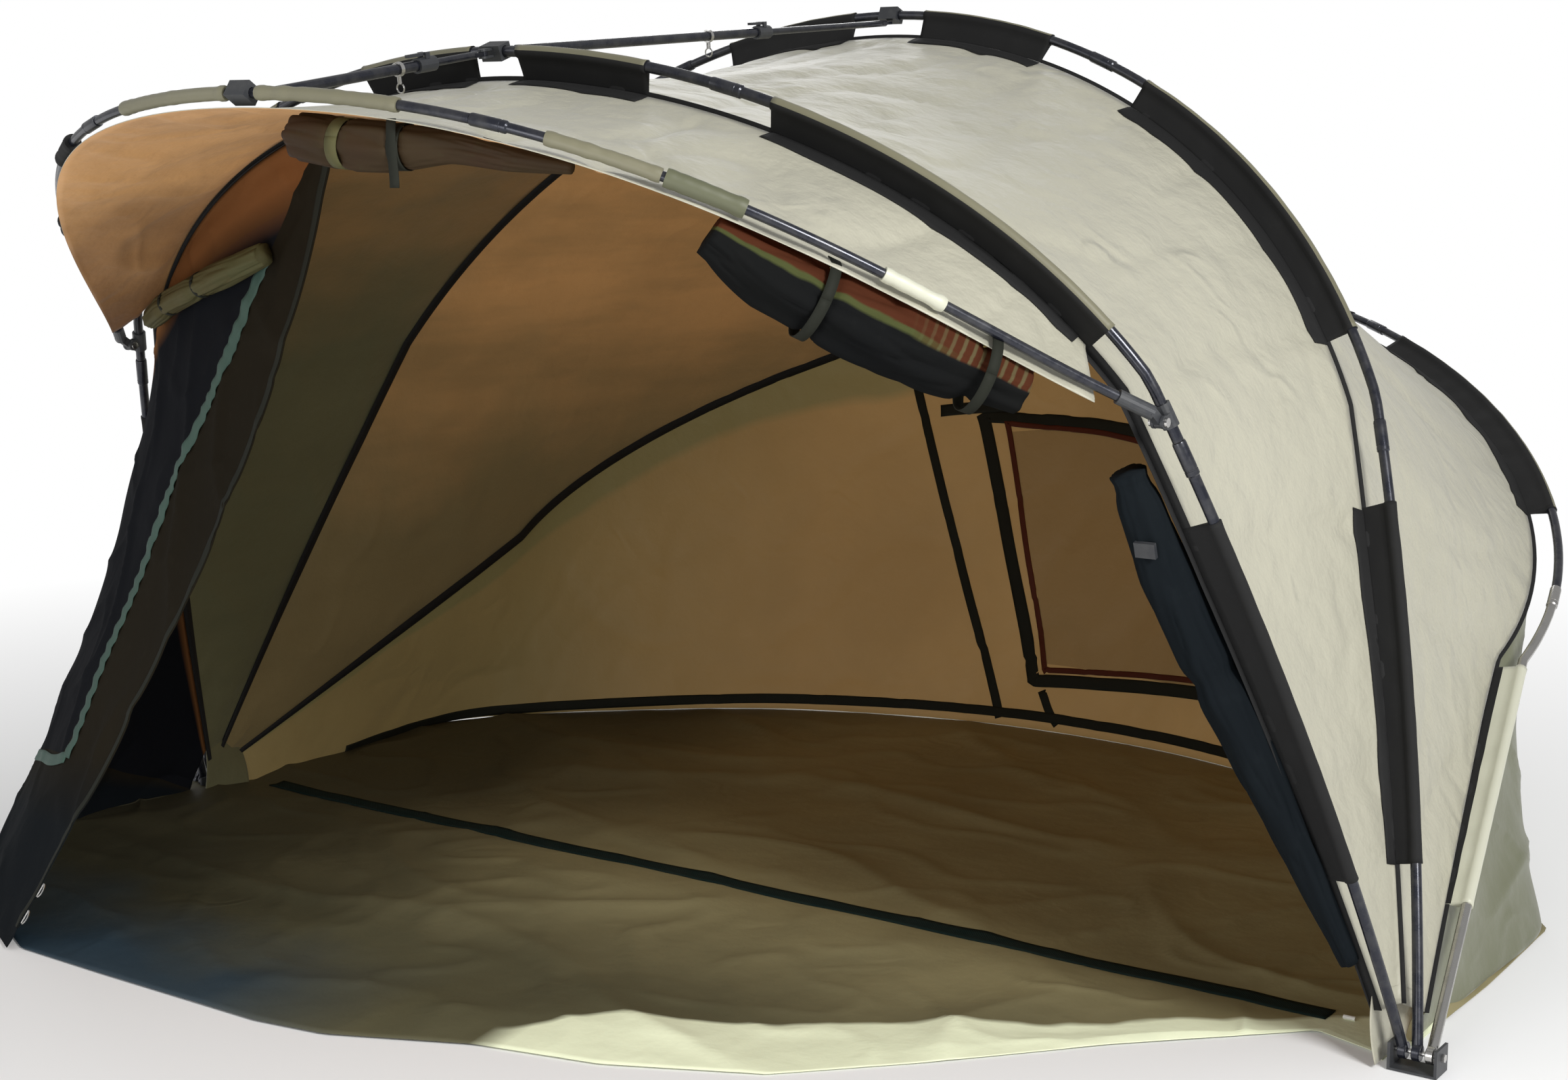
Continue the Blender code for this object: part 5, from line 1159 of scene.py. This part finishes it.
# Painted shade: darker towards the wall's left end.
tone = WALL.mix(WALL.fade(wall_along, 0.66, 0.82) * 0.65, tone, shade(WALL_SHADOW_OLIVE, 0.7))
WALL.lit_through(WALL.mix(pane * 0.6, tone, shade(WALL_INNER_COLOUR, 0.35)), 0.22)
bm, length, widths = cloth_grid(CANOPY_COLUMNS, CANOPY_ROWS, wall_place, 23)
faces = (OLIVE_CLOTH.material, WALL.material)
wall = piece("visual_rear_wall", outward(bm), *faces, slot="canopy_fabric", replaces=("rear_wall",))
sheets["rear_wall"] = thicken(wall, CLOTH)
flats["rear_wall"] = (max(widths), length)

# Seams, window and floor hem of the rear wall, on its inner face.
# Black woven tape, sewn flat. The window's flap is zipped shut: a red-brown zip runs inside a
# dark border, and a short band ties it to the main seam.
TAPE_CLOTH = 0.0010
WALL_EYE = Vector((0, 0.3, 0.4))
TAPE_COLOUR = (0.013, 0.014, 0.010)
ZIP_RED = (0.085, 0.018, 0.008)
SEAM_TAPE = coated_cloth("seam_tape", TAPE_COLOUR, shade(TAPE_COLOUR, 1.6), 0.7, 0.002, 0.0, 0.15)
RED_ZIP = coated_cloth("red_zip", ZIP_RED, shade(ZIP_RED, 0.5), 0.6, 0.002, 0.0, 0.2)
WINDOW_ROUTE = (
    (0.500, 0.328),
    (0.570, 0.281),
    (0.583, 0.272),
    (0.581, 0.300),
    (0.557, 0.598),
    (0.532, 0.872),
    (0.529, 0.892),
    (0.515, 0.890),
    (0.426, 0.860),
)
MAIN_SEAM_ROUTE = ((0.622, 0.010), (0.621, 0.142), (0.584, 0.611), (0.545, 0.985))
BAND_ROUTE = ((0.606, 0.237), (0.588, 0.245), (0.571, 0.251))
FOOT_SEAM_ROUTE = ((0.524, 0.915), (0.517, 0.960), (0.511, 0.985))
FLOOR_HEM_ROUTE = tuple((0.93 - 0.86 * step / 24, 0.972) for step in range(25))
MIDDLE_ALONG, MIDDLE_ACROSS = 0.492, 0.580
ZIP_ALONG_SHARE, ZIP_ACROSS_SHARE = 0.86, 0.92
ZIP_ROUTE = tuple(
    (
        MIDDLE_ALONG + (along - MIDDLE_ALONG) * ZIP_ALONG_SHARE,
        MIDDLE_ACROSS + (across - MIDDLE_ACROSS) * ZIP_ACROSS_SHARE,
    )
    for along, across in WINDOW_ROUTE
)
WALL_TAPES = (
    (MAIN_SEAM_ROUTE, 0.024, 0.0018),
    (BAND_ROUTE, 0.034, 0.0030),
    (FOOT_SEAM_ROUTE, 0.022, 0.0018),
    (WINDOW_ROUTE, 0.034, 0.0020),
    (FLOOR_HEM_ROUTE, 0.026, 0.0026),
)
ZIP_WIDTH = 0.015
ZIP_LIFT = 0.0036


def tape_on(sheet, place, side, route, width, lift, step=0.012, ruffle=0.0):
    """A tape that lies on a sheet of cloth, along a route of places given as (along, across)."""
    mesh = sheet.data
    corners = [vertex.co for vertex in mesh.vertices]
    tree = BVHTree.FromPolygons(corners, [tuple(face.vertices) for face in mesh.polygons])
    spots = smooth_path([Vector((*spot, 0)) for spot in route], 12)
    line = [place(spot.x, spot.y) for spot in spots]
    lengths = along_lengths(line)
    total = lengths[-1]

    def on_sheet(point):
        here, normal, _, _ = tree.find_nearest(point)
        way = side(here) if callable(side) else side
        return here, normal if normal.dot(way) > 0 else -normal

    def strip(along, across):
        middle, normal = on_sheet(sample(line, lengths, along * total))
        ahead = sample(line, lengths, min(along * total + step, total))
        behind = sample(line, lengths, max(along * total - step, 0.0))
        over = normal.cross(ahead - behind).normalized()
        spot, normal = on_sheet(middle + over * width * (across - 0.5))
        wave = ruffle * math.sin(along * total * 170 + 5 * noise.noise(Vector((along * total * 9, 0, 0))))
        return spot + normal * (lift + wave * abs(across - 0.5))

    return cloth_grid(max(4, int(total / step)), 4, strip)[0]


def indoors(here):
    return WALL_EYE - here


def trim(name, bm, finish, body=None, slot="trim_fabric", thickness=TAPE_CLOTH):
    """A narrow strip of cloth that is sewn to a sheet or tied round a roll."""
    return thicken(piece("visual_" + name, bm, finish.material, body=body, slot=slot), thickness, 0)


bm = bmesh.new()
for route, width, lift in WALL_TAPES:
    append(bm, tape_on(sheets["rear_wall"], wall_place, indoors, route, width, lift))
wall_seams = trim("rear_wall_seams", bm, SEAM_TAPE)
bm = tape_on(sheets["rear_wall"], wall_place, indoors, ZIP_ROUTE, ZIP_WIDTH, ZIP_LIFT, 0.010)
wall_zip = trim("rear_window_zip", bm, RED_ZIP)

# Left front panel: dark cloth from the front rib's left leg to its pegged corner.
# It holds a mesh window with a long zip, and its free edge has a corded binding.
CORNER_HALF = 0.975
CORNER_FORWARD = 0.950
PANEL_HEM_SHARES = ((1.515, 0.060), (1.590, 0.300), (1.510, 0.600), (1.290, 0.850), (1.0, 1.0))
PANEL_SEAM_SHARES = (1.960, 1.170)
PANEL_INSET = 0.0625
PANEL_FRONT_GAP = 0.0024
PANEL_BELLY = 0.165
PANEL_FOLD = 0.008
PANEL_FOLD_TURNS = 9
HEM_HEIGHT = 0.0044
HEM = even_path([Vector((-CORNER_HALF * x, -CORNER_FORWARD * y, HEM_HEIGHT)) for x, y in PANEL_HEM_SHARES])
FRONT_BEHIND = (FRONT.world(Vector(), 1) - FRONT.world(Vector())).normalized()


def panel_place(along, across):
    foot, head = PANEL_SEAM_SHARES
    top = FRONT.world(FRONT.seam(foot + (head - foot) * along, PANEL_INSET), -PANEL_FRONT_GAP)
    bottom = sample(*HEM, along * HEM[1][-1])
    wave = math.sin(PANEL_FOLD_TURNS * math.pi * along)
    hang = PANEL_BELLY * along * swell(across)
    return top.lerp(bottom, across) + FRONT_BEHIND * (hang + PANEL_FOLD * wave * across * swell(along))


PANEL_COLOUR = (0.013, 0.0105, 0.0065)
PANEL_MESH = (0.010, 0.011, 0.014)
PANEL_TOP = (0.17, 0.070, 0.024)
PANEL_LOW = (0.007, 0.009, 0.011)
PANEL = coated_cloth("panel_cloth", PANEL_COLOUR, shade(PANEL_COLOUR, 1.5), 0.80, 0.006, 0.0, 0.05)
panel_along, panel_across, _ = PANEL.shares()
bend = PANEL.node("Math", {"operation": "MAXIMUM"}, {0: 0.6 - panel_across, 1: 0.0})
behind_zip = panel_along < 0.828 + bend * bend * 0.445
window = behind_zip * (panel_across < 0.80) * (panel_across > 0.10)
net = PANEL.node("TexWave", {"bands_direction": "DIAGONAL"}, {"Vector": PANEL.node("UVMap"), "Scale": 160.0})
mesh_tone = PANEL.mix(net * 0.5, shade(PANEL_MESH, 0.6), PANEL_MESH)
tone = PANEL.mix(PANEL.fade(panel_across, 0.80, 0.88), PANEL.base(), PANEL_LOW)
tone = PANEL.mix(window, tone, mesh_tone)
PANEL.set("Base Color", PANEL.mix(PANEL.fade(panel_across, 0.13, 0.06) * behind_zip, tone, PANEL_TOP))
bm, length, widths = cloth_grid(150, 130, panel_place, 31)
stands_for = {"body": "front_rib", "slot": "panel_fabric", "replaces": ("left_front_panel",)}
panel = thicken(piece("visual_left_front_panel", outward(bm), PANEL.material, **stands_for), CLOTH, 0)
sheets["left_front_panel"] = panel
flats["left_front_panel"] = (max(widths), length)

# Zips and binding of the left front panel, on its outer face.
# Sea-green zip tape, puckered where it is sewn, and a dark cord binding round the free edge.
OUTDOORS = -FRONT_BEHIND
ZIP_GREEN = (0.050, 0.095, 0.075)
GREEN_ZIP = coated_cloth("green_zip", ZIP_GREEN, shade(ZIP_GREEN, 0.6), 0.6, 0.003, 0.02, 0.25)
LONG_ZIP_ROUTE = (
    (0.918, 0.150),
    (0.908, 0.176),
    (0.889, 0.258),
    (0.853, 0.378),
    (0.837, 0.468),
    (0.831, 0.586),
    (0.828, 0.693),
    (0.848, 0.805),
)
FOOT_ZIP_ROUTE = ((0.848, 0.805), (0.760, 0.812), (0.640, 0.806), (0.530, 0.797), (0.420, 0.790))
EDGE_ROUTE = tuple((0.993, 0.02 + 0.96 * step / 20) for step in range(21))
LONG_ZIP_WIDTH = 0.026
FOOT_ZIP_WIDTH = 0.024
EDGE_WIDTH = 0.013
PANEL_ZIP_LIFT = 0.0024
EDGE_LIFT = 0.0016
RUFFLE = 0.004
bm = bmesh.new()
for side in (OUTDOORS, -OUTDOORS):
    long_tape = (side, LONG_ZIP_ROUTE, LONG_ZIP_WIDTH, PANEL_ZIP_LIFT, 0.008, RUFFLE)
    append(bm, tape_on(panel, panel_place, *long_tape))
    append(bm, tape_on(panel, panel_place, side, FOOT_ZIP_ROUTE, FOOT_ZIP_WIDTH, PANEL_ZIP_LIFT, 0.010))
panel_zips = trim("panel_zips", bm, GREEN_ZIP, "front_rib")
bm = bmesh.new()
for side in (OUTDOORS, -OUTDOORS):
    append(bm, tape_on(panel, panel_place, side, EDGE_ROUTE, EDGE_WIDTH, EDGE_LIFT))
panel_binding = trim("panel_binding", bm, SEAM_TAPE, "front_rib")

# Rolled door cloths under the peak: the front door, and the crown cloth beside it.
# Each is cloth wound on itself, with creases along it and a pinch at every tie, held by flat straps.
ROLL_FACETS = 72
ROLL_STEPS = 14
ROLL_SIDE = Vector((0.2, 0.3, 0.9))
UNDER_PEAK_GAP = 0.0018
TIE_PINCH = 0.20
TIE_REACH_SHARE = 0.022


def off_cloth(place, along, across, distance, side):
    here = place(along, across)
    ahead = place(along + 0.004, across) - here
    over = place(along, across + 0.004) - here
    normal = ahead.cross(over).normalized()
    if normal.dot(side) < 0:
        normal.negate()
    return here + normal * distance


def spread(first, last, count):
    return [first + (last - first) * index / (count - 1) for index in range(count)]


def rolls_under_peak(first, last, across, radius, shares):
    points = []
    for along, share in zip(spread(first, last, len(shares)), shares):
        distance = radius * share + UNDER_PEAK_GAP
        points.append(off_cloth(peak_place, along, across, distance, Vector((0, 0, -1))))
    return points


def roll(name, points, radius, shares, finish, body, slot, ties, seed):
    """A wound bundle of cloth: round, with long folds, pinched where it is tied."""
    path = smooth_path(points, ROLL_STEPS)
    lengths = along_lengths(path)
    count = len(path) - 1
    span = len(shares) - 1

    def radius_at(share):
        first = min(int(share * span), span - 1)
        local = share * span - first
        size = shares[first] * (1 - local) + shares[first + 1] * local
        for tie in ties:
            size *= 1 - TIE_PINCH * math.exp(-(((share - tie) / TIE_REACH_SHARE) ** 2))
        return radius * size

    def place(along, around):
        index = round(along * count)
        forward = along_frame(path, index)
        first = forward.cross(ROLL_SIDE).normalized()
        second = forward.cross(first)
        around = around % 1
        turn = 2 * math.pi * around
        here = lengths[index]
        size = radius_at(along) * 0.93
        layers = 0.05 * math.sin(3 * turn + here * 5 + seed) + 0.035 * math.sin(7 * turn - here * 9)
        wrinkle = 0.10 * noise.noise(Vector((math.cos(turn) * 2, math.sin(turn) * 2, here * 9 + seed)))
        sharp = -0.09 * ridge(Vector((math.cos(turn), math.sin(turn), here * 3)), 2.0, seed) ** 3
        size *= 1 + layers + wrinkle + sharp
        return path[index] + (first * math.cos(turn) + second * math.sin(turn)) * size

    wound = grid(count, ROLL_FACETS, place)
    marks = wound.verts.layers.float_vector["shares"]
    for vertex in wound.verts:
        along, around, _ = vertex[marks]
        vertex[marks] = (along, math.sin(2 * math.pi * around), math.cos(2 * math.pi * around))
    obj = piece("visual_" + name, close(wound), finish.material, body=body, slot=slot, replaces=(name,))
    return path, radius_at


DOOR_ROLL_RADIUS = 0.065
DOOR_ROLL_SHARES = (0.57, 0.88, 0.97, 1.0, 0.85, 0.65)
DOOR_ROLL_SPAN_SHARES = (0.225, 0.035, 0.060)
CROWN_ROLL_RADIUS = 0.043
CROWN_ROLL_SHARES = (0.90, 1.0, 0.95, 0.60, 0.50, 0.25)
CROWN_ROLL_SPAN_SHARES = (0.472, 0.305, 0.080)
CHARCOAL = ((0.006, 0.0065, 0.007), (0.010, 0.010, 0.009))
DOOR_RED = (0.060, 0.019, 0.009)
DOOR_OLIVE = (0.055, 0.062, 0.022)
DOOR_PLEAT = (0.090, 0.070, 0.034)
CROWN_BROWN = ((0.034, 0.015, 0.007), (0.028, 0.038, 0.012))
DOOR_CLOTH = coated_cloth("rolled_cloth", *CHARCOAL, 0.80, 0.006, 0.0, 0.03)
CROWN_CLOTH = coated_cloth("crown_cloth", *CROWN_BROWN, 0.65, 0.006, 0.0, 0.15)
roll_along, roll_down, _ = DOOR_CLOTH.shares()
turned = roll_down + DOOR_CLOTH.noise(7, 3) * 0.5 - roll_along * 0.35
waves = DOOR_CLOTH.node("Math", {"operation": "SINE"}, {0: roll_along * 190.0 + roll_down * 3.0})
pleated = DOOR_CLOTH.mix(DOOR_CLOTH.ramp(waves, (0.2, 0.0), (0.8, 1.0)), DOOR_RED, DOOR_PLEAT)
tone = DOOR_CLOTH.mix(DOOR_CLOTH.fade(turned, -0.16, -0.22), DOOR_OLIVE, DOOR_RED)
tone = DOOR_CLOTH.mix(DOOR_CLOTH.fade(roll_along, 0.60, 0.78), tone, pleated)
tone = DOOR_CLOTH.mix(DOOR_CLOTH.fade(turned, 0.02, -0.06), DOOR_CLOTH.base(), tone)
DOOR_CLOTH.set("Base Color", tone)
door_points = rolls_under_peak(*DOOR_ROLL_SPAN_SHARES, DOOR_ROLL_RADIUS, DOOR_ROLL_SHARES)
door_bundle = (DOOR_ROLL_RADIUS, DOOR_ROLL_SHARES, DOOR_CLOTH, "hoop", "rolled_fabric")
door_path, _ = roll("door_roll", door_points, *door_bundle, (0.35, 0.85), 1.0)
crown_points = rolls_under_peak(*CROWN_ROLL_SPAN_SHARES, CROWN_ROLL_RADIUS, CROWN_ROLL_SHARES)
crown_bundle = (CROWN_ROLL_RADIUS, CROWN_ROLL_SHARES, CROWN_CLOTH, "hoop", "rolled_fabric")
crown_path, crown_radius = roll("crown_roll", crown_points, *crown_bundle, (0.2, 0.42), 2.0)


def strap_round(path, radius_at, share, width, tail):
    """A flat strap round a bundle of cloth, with a tail that hangs from it."""
    lengths = along_lengths(path)
    middle = share * lengths[-1]
    centre = sample(path, lengths, middle)
    ahead = sample(path, lengths, middle + width)
    forward = (ahead - sample(path, lengths, middle - width)).normalized()
    toward = forward.cross(ROLL_SIDE).normalized()
    down = forward.cross(toward)
    radius = radius_at(share) * 1.05

    def hoop_band(along, around):
        turn = 2 * math.pi * along
        out = toward * math.cos(turn) + down * math.sin(turn)
        return centre + out * (radius + 0.002) + forward * (width * (around - 0.5))

    def hanging(along, around):
        off = radius * 0.9 + 0.004 + 0.003 * math.sin(along * 5)
        drop = Vector((0, 0, radius * (along * 2 - 1) + tail * along))
        return centre + toward * off + forward * (width * (around - 0.5) * 0.8) - drop

    bm = grid(36, 2, hoop_band)
    if tail:
        append(bm, grid(12, 2, hanging))
    return bm


OLIVE_TONES = ((0.075, 0.080, 0.034), (0.095, 0.050, 0.020))
OLIVE_ROLLED = coated_cloth("olive_roll", *OLIVE_TONES, 0.65, 0.006, 0.0, 0.15)
STRAP_CLOTH = 0.0016
CROWN_STRAP_SHARES = (0.20, 0.42)
DOOR_STRAP_SHARES = (0.34, 0.86)
DOOR_STRAP_RADIUS = 0.060
STRAP_TAIL = 0.035
bm = strap_round(crown_path, crown_radius, CROWN_STRAP_SHARES[0], 0.022, 0)
trim("crown_strap", bm, OLIVE_ROLLED, "hoop", "rolled_fabric", STRAP_CLOTH)
bm = strap_round(crown_path, crown_radius, CROWN_STRAP_SHARES[1], 0.020, STRAP_TAIL)
for share in DOOR_STRAP_SHARES:
    append(bm, strap_round(door_path, lambda _: DOOR_STRAP_RADIUS, share, 0.018, 0))
trim("roll_straps", bm, SEAM_TAPE, "hoop", thickness=STRAP_CLOTH)

# Cloth sleeves on the hoop, and its bare label patch.
# Khaki and dark sleeves hold the peak to the pole; the label's place is a plain olive patch.
HOOP_SLEEVE_RADIUS = 0.0112
PATCH_RADIUS = 0.0145
HOOP_SLEEVE_SHARES = (
    ((0.243, 0.311), 2, HOOP_SLEEVE_RADIUS),
    ((0.456, 0.536), 3, PATCH_RADIUS),
    ((0.540, 0.654), 1, HOOP_SLEEVE_RADIUS),
    ((0.807, 0.978), 1, HOOP_SLEEVE_RADIUS),
    ((1.022, 1.203), 1, HOOP_SLEEVE_RADIUS),
    ((1.365, 1.430), 0, PATCH_RADIUS),
    ((1.620, 1.655), 0, PATCH_RADIUS),
)
PATCH_COLOUR = (0.105, 0.110, 0.060)
PATCH = coated_cloth("label_patch", PATCH_COLOUR, shade(PATCH_COLOUR, 0.6), 0.5, 0.002, 0.05)


def cuff(outline, ends, radius, seed):
    """A cloth sleeve round a bare pole, with soft folds and a hem at each end."""
    count = max(6, int((ends[1] - ends[0]) * outline.length / 0.006))
    points, radii = [], []
    for index in range(count + 1):
        points.append(outline.world(outline.flat(ends[0] + (ends[1] - ends[0]) * index / count)))
        hem = 0.0010 if min(index, count - index) in (1, 2) else 0.0
        radii.append(radius + hem + 0.0012 * noise.noise(Vector((index * 0.3, seed, 0))))
    return tube(points, radii)


bm = bmesh.new()
for seed, (ends, tone, radius) in enumerate(HOOP_SLEEVE_SHARES):
    section = cuff(HOOP, ends, radius, seed * 3)
    for face in section.faces:
        face.material_index = tone
    append(bm, section)
cloths = (WING.material, SLEEVE.material, PALE_SLEEVE.material, PATCH.material)
piece("visual_hoop_sleeves", bm, *cloths, body="hoop", slot="trim_fabric")

# Dark hems where the wings are sewn down on the canopy.
# Each runs beside one sleeve of a rib, on the panel in front of that rib.
HEM_WIDTH = 0.040
HEM_ACROSS = {"canopy_peak": 0.965, "canopy_front": 0.978, "canopy_rear": 0.980}
HEM_LIFT = 0.0024


def canopy_along(position):
    return (position / 2 - CANOPY_FOOT_SHARE) / (1 - 2 * CANOPY_FOOT_SHARE)


def peak_along(position):
    return 0.5 + (position - 1) / (4 * (1 / 2 - PEAK_FOOT_SHARE))


PEAK_HEM_SHARES = ((0.532, 0.779), (0.875, 0.980))
WING_HEMS = (
    ("canopy_peak", peak_place, peak_along, PEAK_HEM_SHARES),
    ("canopy_front", canopy_between(FRONT, MIDDLE), canopy_along, SLEEVE_SHARES["middle"]),
    ("canopy_rear", canopy_between(MIDDLE, REAR), canopy_along, SLEEVE_SHARES["rear"][1:]),
)
wing_hems = {}
for name, place, to_along, spans in WING_HEMS:
    bm = bmesh.new()
    for low, high in spans:
        for ends, way in (((low, high), 0.6), ((2 - low, 2 - high), -0.6)):
            side = Vector((way, 0, 0.8))
            route = [(to_along(position), HEM_ACROSS[name]) for position in spread(*ends, 9)]
            append(bm, tape_on(sheets[name], place, side, route, HEM_WIDTH, HEM_LIFT, 0.016))
    wing_hems[name] = trim(name + "_hems", bm, WING)

# Side cloth rolled along the right leg, and the window flap rolled up on the left panel.
# Both are wound tight and tied; the side roll is navy, the window's olive.
SIDE_ROLL_RADIUS = 0.044
SIDE_ROLL_SHARES = (0.80, 1.08, 1.08, 0.92, 0.68, 0.40)
SIDE_ROLL_SPAN_SHARES = (0.432, 0.070)
SIDE_ROLL_FORWARD = 0.0112
SIDE_ROLL_GAP = 0.0006
WING_INNER = 0.060
WING_EDGE_EASE_SHARE = 0.35
WINDOW_ROLL_RADIUS = 0.028
WINDOW_ROLL_SHARES = (0.85, 1.0, 1.0, 1.0, 0.85)
WINDOW_ROLL_PLACE_SHARES = ((0.628, 0.060), (0.705, 0.108), (0.784, 0.140), (0.860, 0.155), (0.930, 0.157))
WINDOW_ROLL_GAP = 0.0033
WINDOW_TIE_SHARES = (0.25, 0.55)
WINDOW_TIE_CLOTH = 0.0014
NAVY_TONES = ((0.005, 0.007, 0.009), (0.010, 0.013, 0.015))
NAVY_ROLLED = coated_cloth("navy_roll", *NAVY_TONES, 0.75, 0.005, 0.0, 0.05)


def wing_edge(position):
    """How far a rib's wing reaches inwards from the pole's centre line."""
    near = RIB_TUBE / 2 + 0.0009
    ease = min(1.0, position / WING_EDGE_EASE_SHARE, (2 - position) / WING_EDGE_EASE_SHARE)
    return near + (WING_INNER - near) * ease + 0.006


side_points = []
for position, share in zip(spread(*SIDE_ROLL_SPAN_SHARES, len(SIDE_ROLL_SHARES)), SIDE_ROLL_SHARES):
    inset = wing_edge(position) + SIDE_ROLL_RADIUS * share + SIDE_ROLL_GAP
    side_points.append(FRONT.world(FRONT.flat(position, inset), -SIDE_ROLL_FORWARD))
side_bundle = (SIDE_ROLL_RADIUS, SIDE_ROLL_SHARES, NAVY_ROLLED, "front_rib", "trim_fabric")
roll("side_roll", side_points, *side_bundle, (0.02, 0.4), 3.0)
window_points = []
for spot, share in zip(WINDOW_ROLL_PLACE_SHARES, WINDOW_ROLL_SHARES):
    distance = WINDOW_ROLL_RADIUS * share + WINDOW_ROLL_GAP
    window_points.append(off_cloth(panel_place, *spot, distance, OUTDOORS))
window_bundle = (WINDOW_ROLL_RADIUS, WINDOW_ROLL_SHARES, OLIVE_ROLLED, "front_rib", "trim_fabric")
window_path, window_radius = roll("window_roll", window_points, *window_bundle, WINDOW_TIE_SHARES, 4.0)
bm = bmesh.new()
for share in WINDOW_TIE_SHARES:
    append(bm, strap_round(window_path, window_radius, share, 0.010, 0))
trim("window_ties", bm, SEAM_TAPE, "front_rib", thickness=WINDOW_TIE_CLOTH)

# Gussets at the side pivots: small cloth fans that close the corner between the ribs' feet and the floor.
# They stay on the ground, and have the canopy's faces.
GUSSET_BACK = 0.105
GUSSET_FRONT = -0.035
GUSSET_BASE = 0.0060
GUSSET_TOP_SHARE = 0.012
GUSSET_BULGE = 0.006


def gusset(sign):
    foot = 2 * CANOPY_FOOT_SHARE + GUSSET_TOP_SHARE
    top = [rib.world(rib.seam(foot if sign > 0 else 2 - foot)) for rib in (FRONT, MIDDLE, REAR)]

    def place(along, across):
        index = min(int(along * 2), 1)
        upper = top[index].lerp(top[index + 1], along * 2 - index)
        depth = GUSSET_FRONT + (GUSSET_BACK - GUSSET_FRONT) * along
        lower = Vector((sign * FLOOR_SIDE_HALF, depth, GUSSET_BASE))
        bulge = Vector((-sign * GUSSET_BULGE, 0, 0)) * swell(across)
        return upper.lerp(lower, across) + bulge

    return outward(cloth_grid(24, 12, place)[0], Vector((0, 0.02, 0.05)))


bm = gusset(1)
append(bm, gusset(-1))
faces = (OUTER.material, INNER_FACES["canopy_front"])
gussets = thicken(piece("visual_foot_gussets", bm, *faces, body="ground", slot="canopy_fabric"), TAPE_CLOTH)

# Each canopy panel gets a step square to the plane half-way between the two frames that hold it, and every
# sheet and its trims are baked into world space.
# The steps are not used yet; the rear wall lies between the ground and its rib.
FOLD_HALF = 0.30
HOOP_FOLD_HALF = 0.20


def mid_axis(first, second):
    """Square to the plane half-way between two ribs, from the first to the second."""
    lean = (first.lean + second.lean) / 2
    direction = Vector((0, math.cos(lean), -math.sin(lean)))
    if first.lean > second.lean:
        direction.negate()
    return direction


step = mid_axis(MIDDLE, FRONT) * FOLD_HALF
for obj in (sheets["canopy_front"], wing_hems["canopy_front"]):
    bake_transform(obj)
step = mid_axis(REAR, MIDDLE) * FOLD_HALF
for obj in (sheets["canopy_rear"], wing_hems["canopy_rear"]):
    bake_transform(obj)
rib_up = Vector((0, math.sin(FRONT.lean), math.cos(FRONT.lean)))
half_way = (rib_up + HOOP_FORWARD).normalized()
square = Vector((0, -half_way.z, half_way.y))
if square.dot(HOOP_FORWARD) < 0:
    square.negate()
step = square * HOOP_FOLD_HALF
for obj in (sheets["canopy_peak"], wing_hems["canopy_peak"]):
    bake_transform(obj)
for obj in (sheets["rear_wall"], wall_seams, wall_zip):
    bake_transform(obj)
TRIMS = {
    "canopy_front": (wing_hems["canopy_front"], gussets),
    "canopy_rear": (wing_hems["canopy_rear"],),
    "canopy_peak": (wing_hems["canopy_peak"],),
    "rear_wall": (wall_seams, wall_zip),
    "left_front_panel": (panel_zips, panel_binding),
}
for name, trims in TRIMS.items():
    sheet = sheets[name]
    width, length = flats[name]
    area = min(sum(face.area for face in sheet.data.polygons), width * length)
    names = [obj.name for obj in trims]
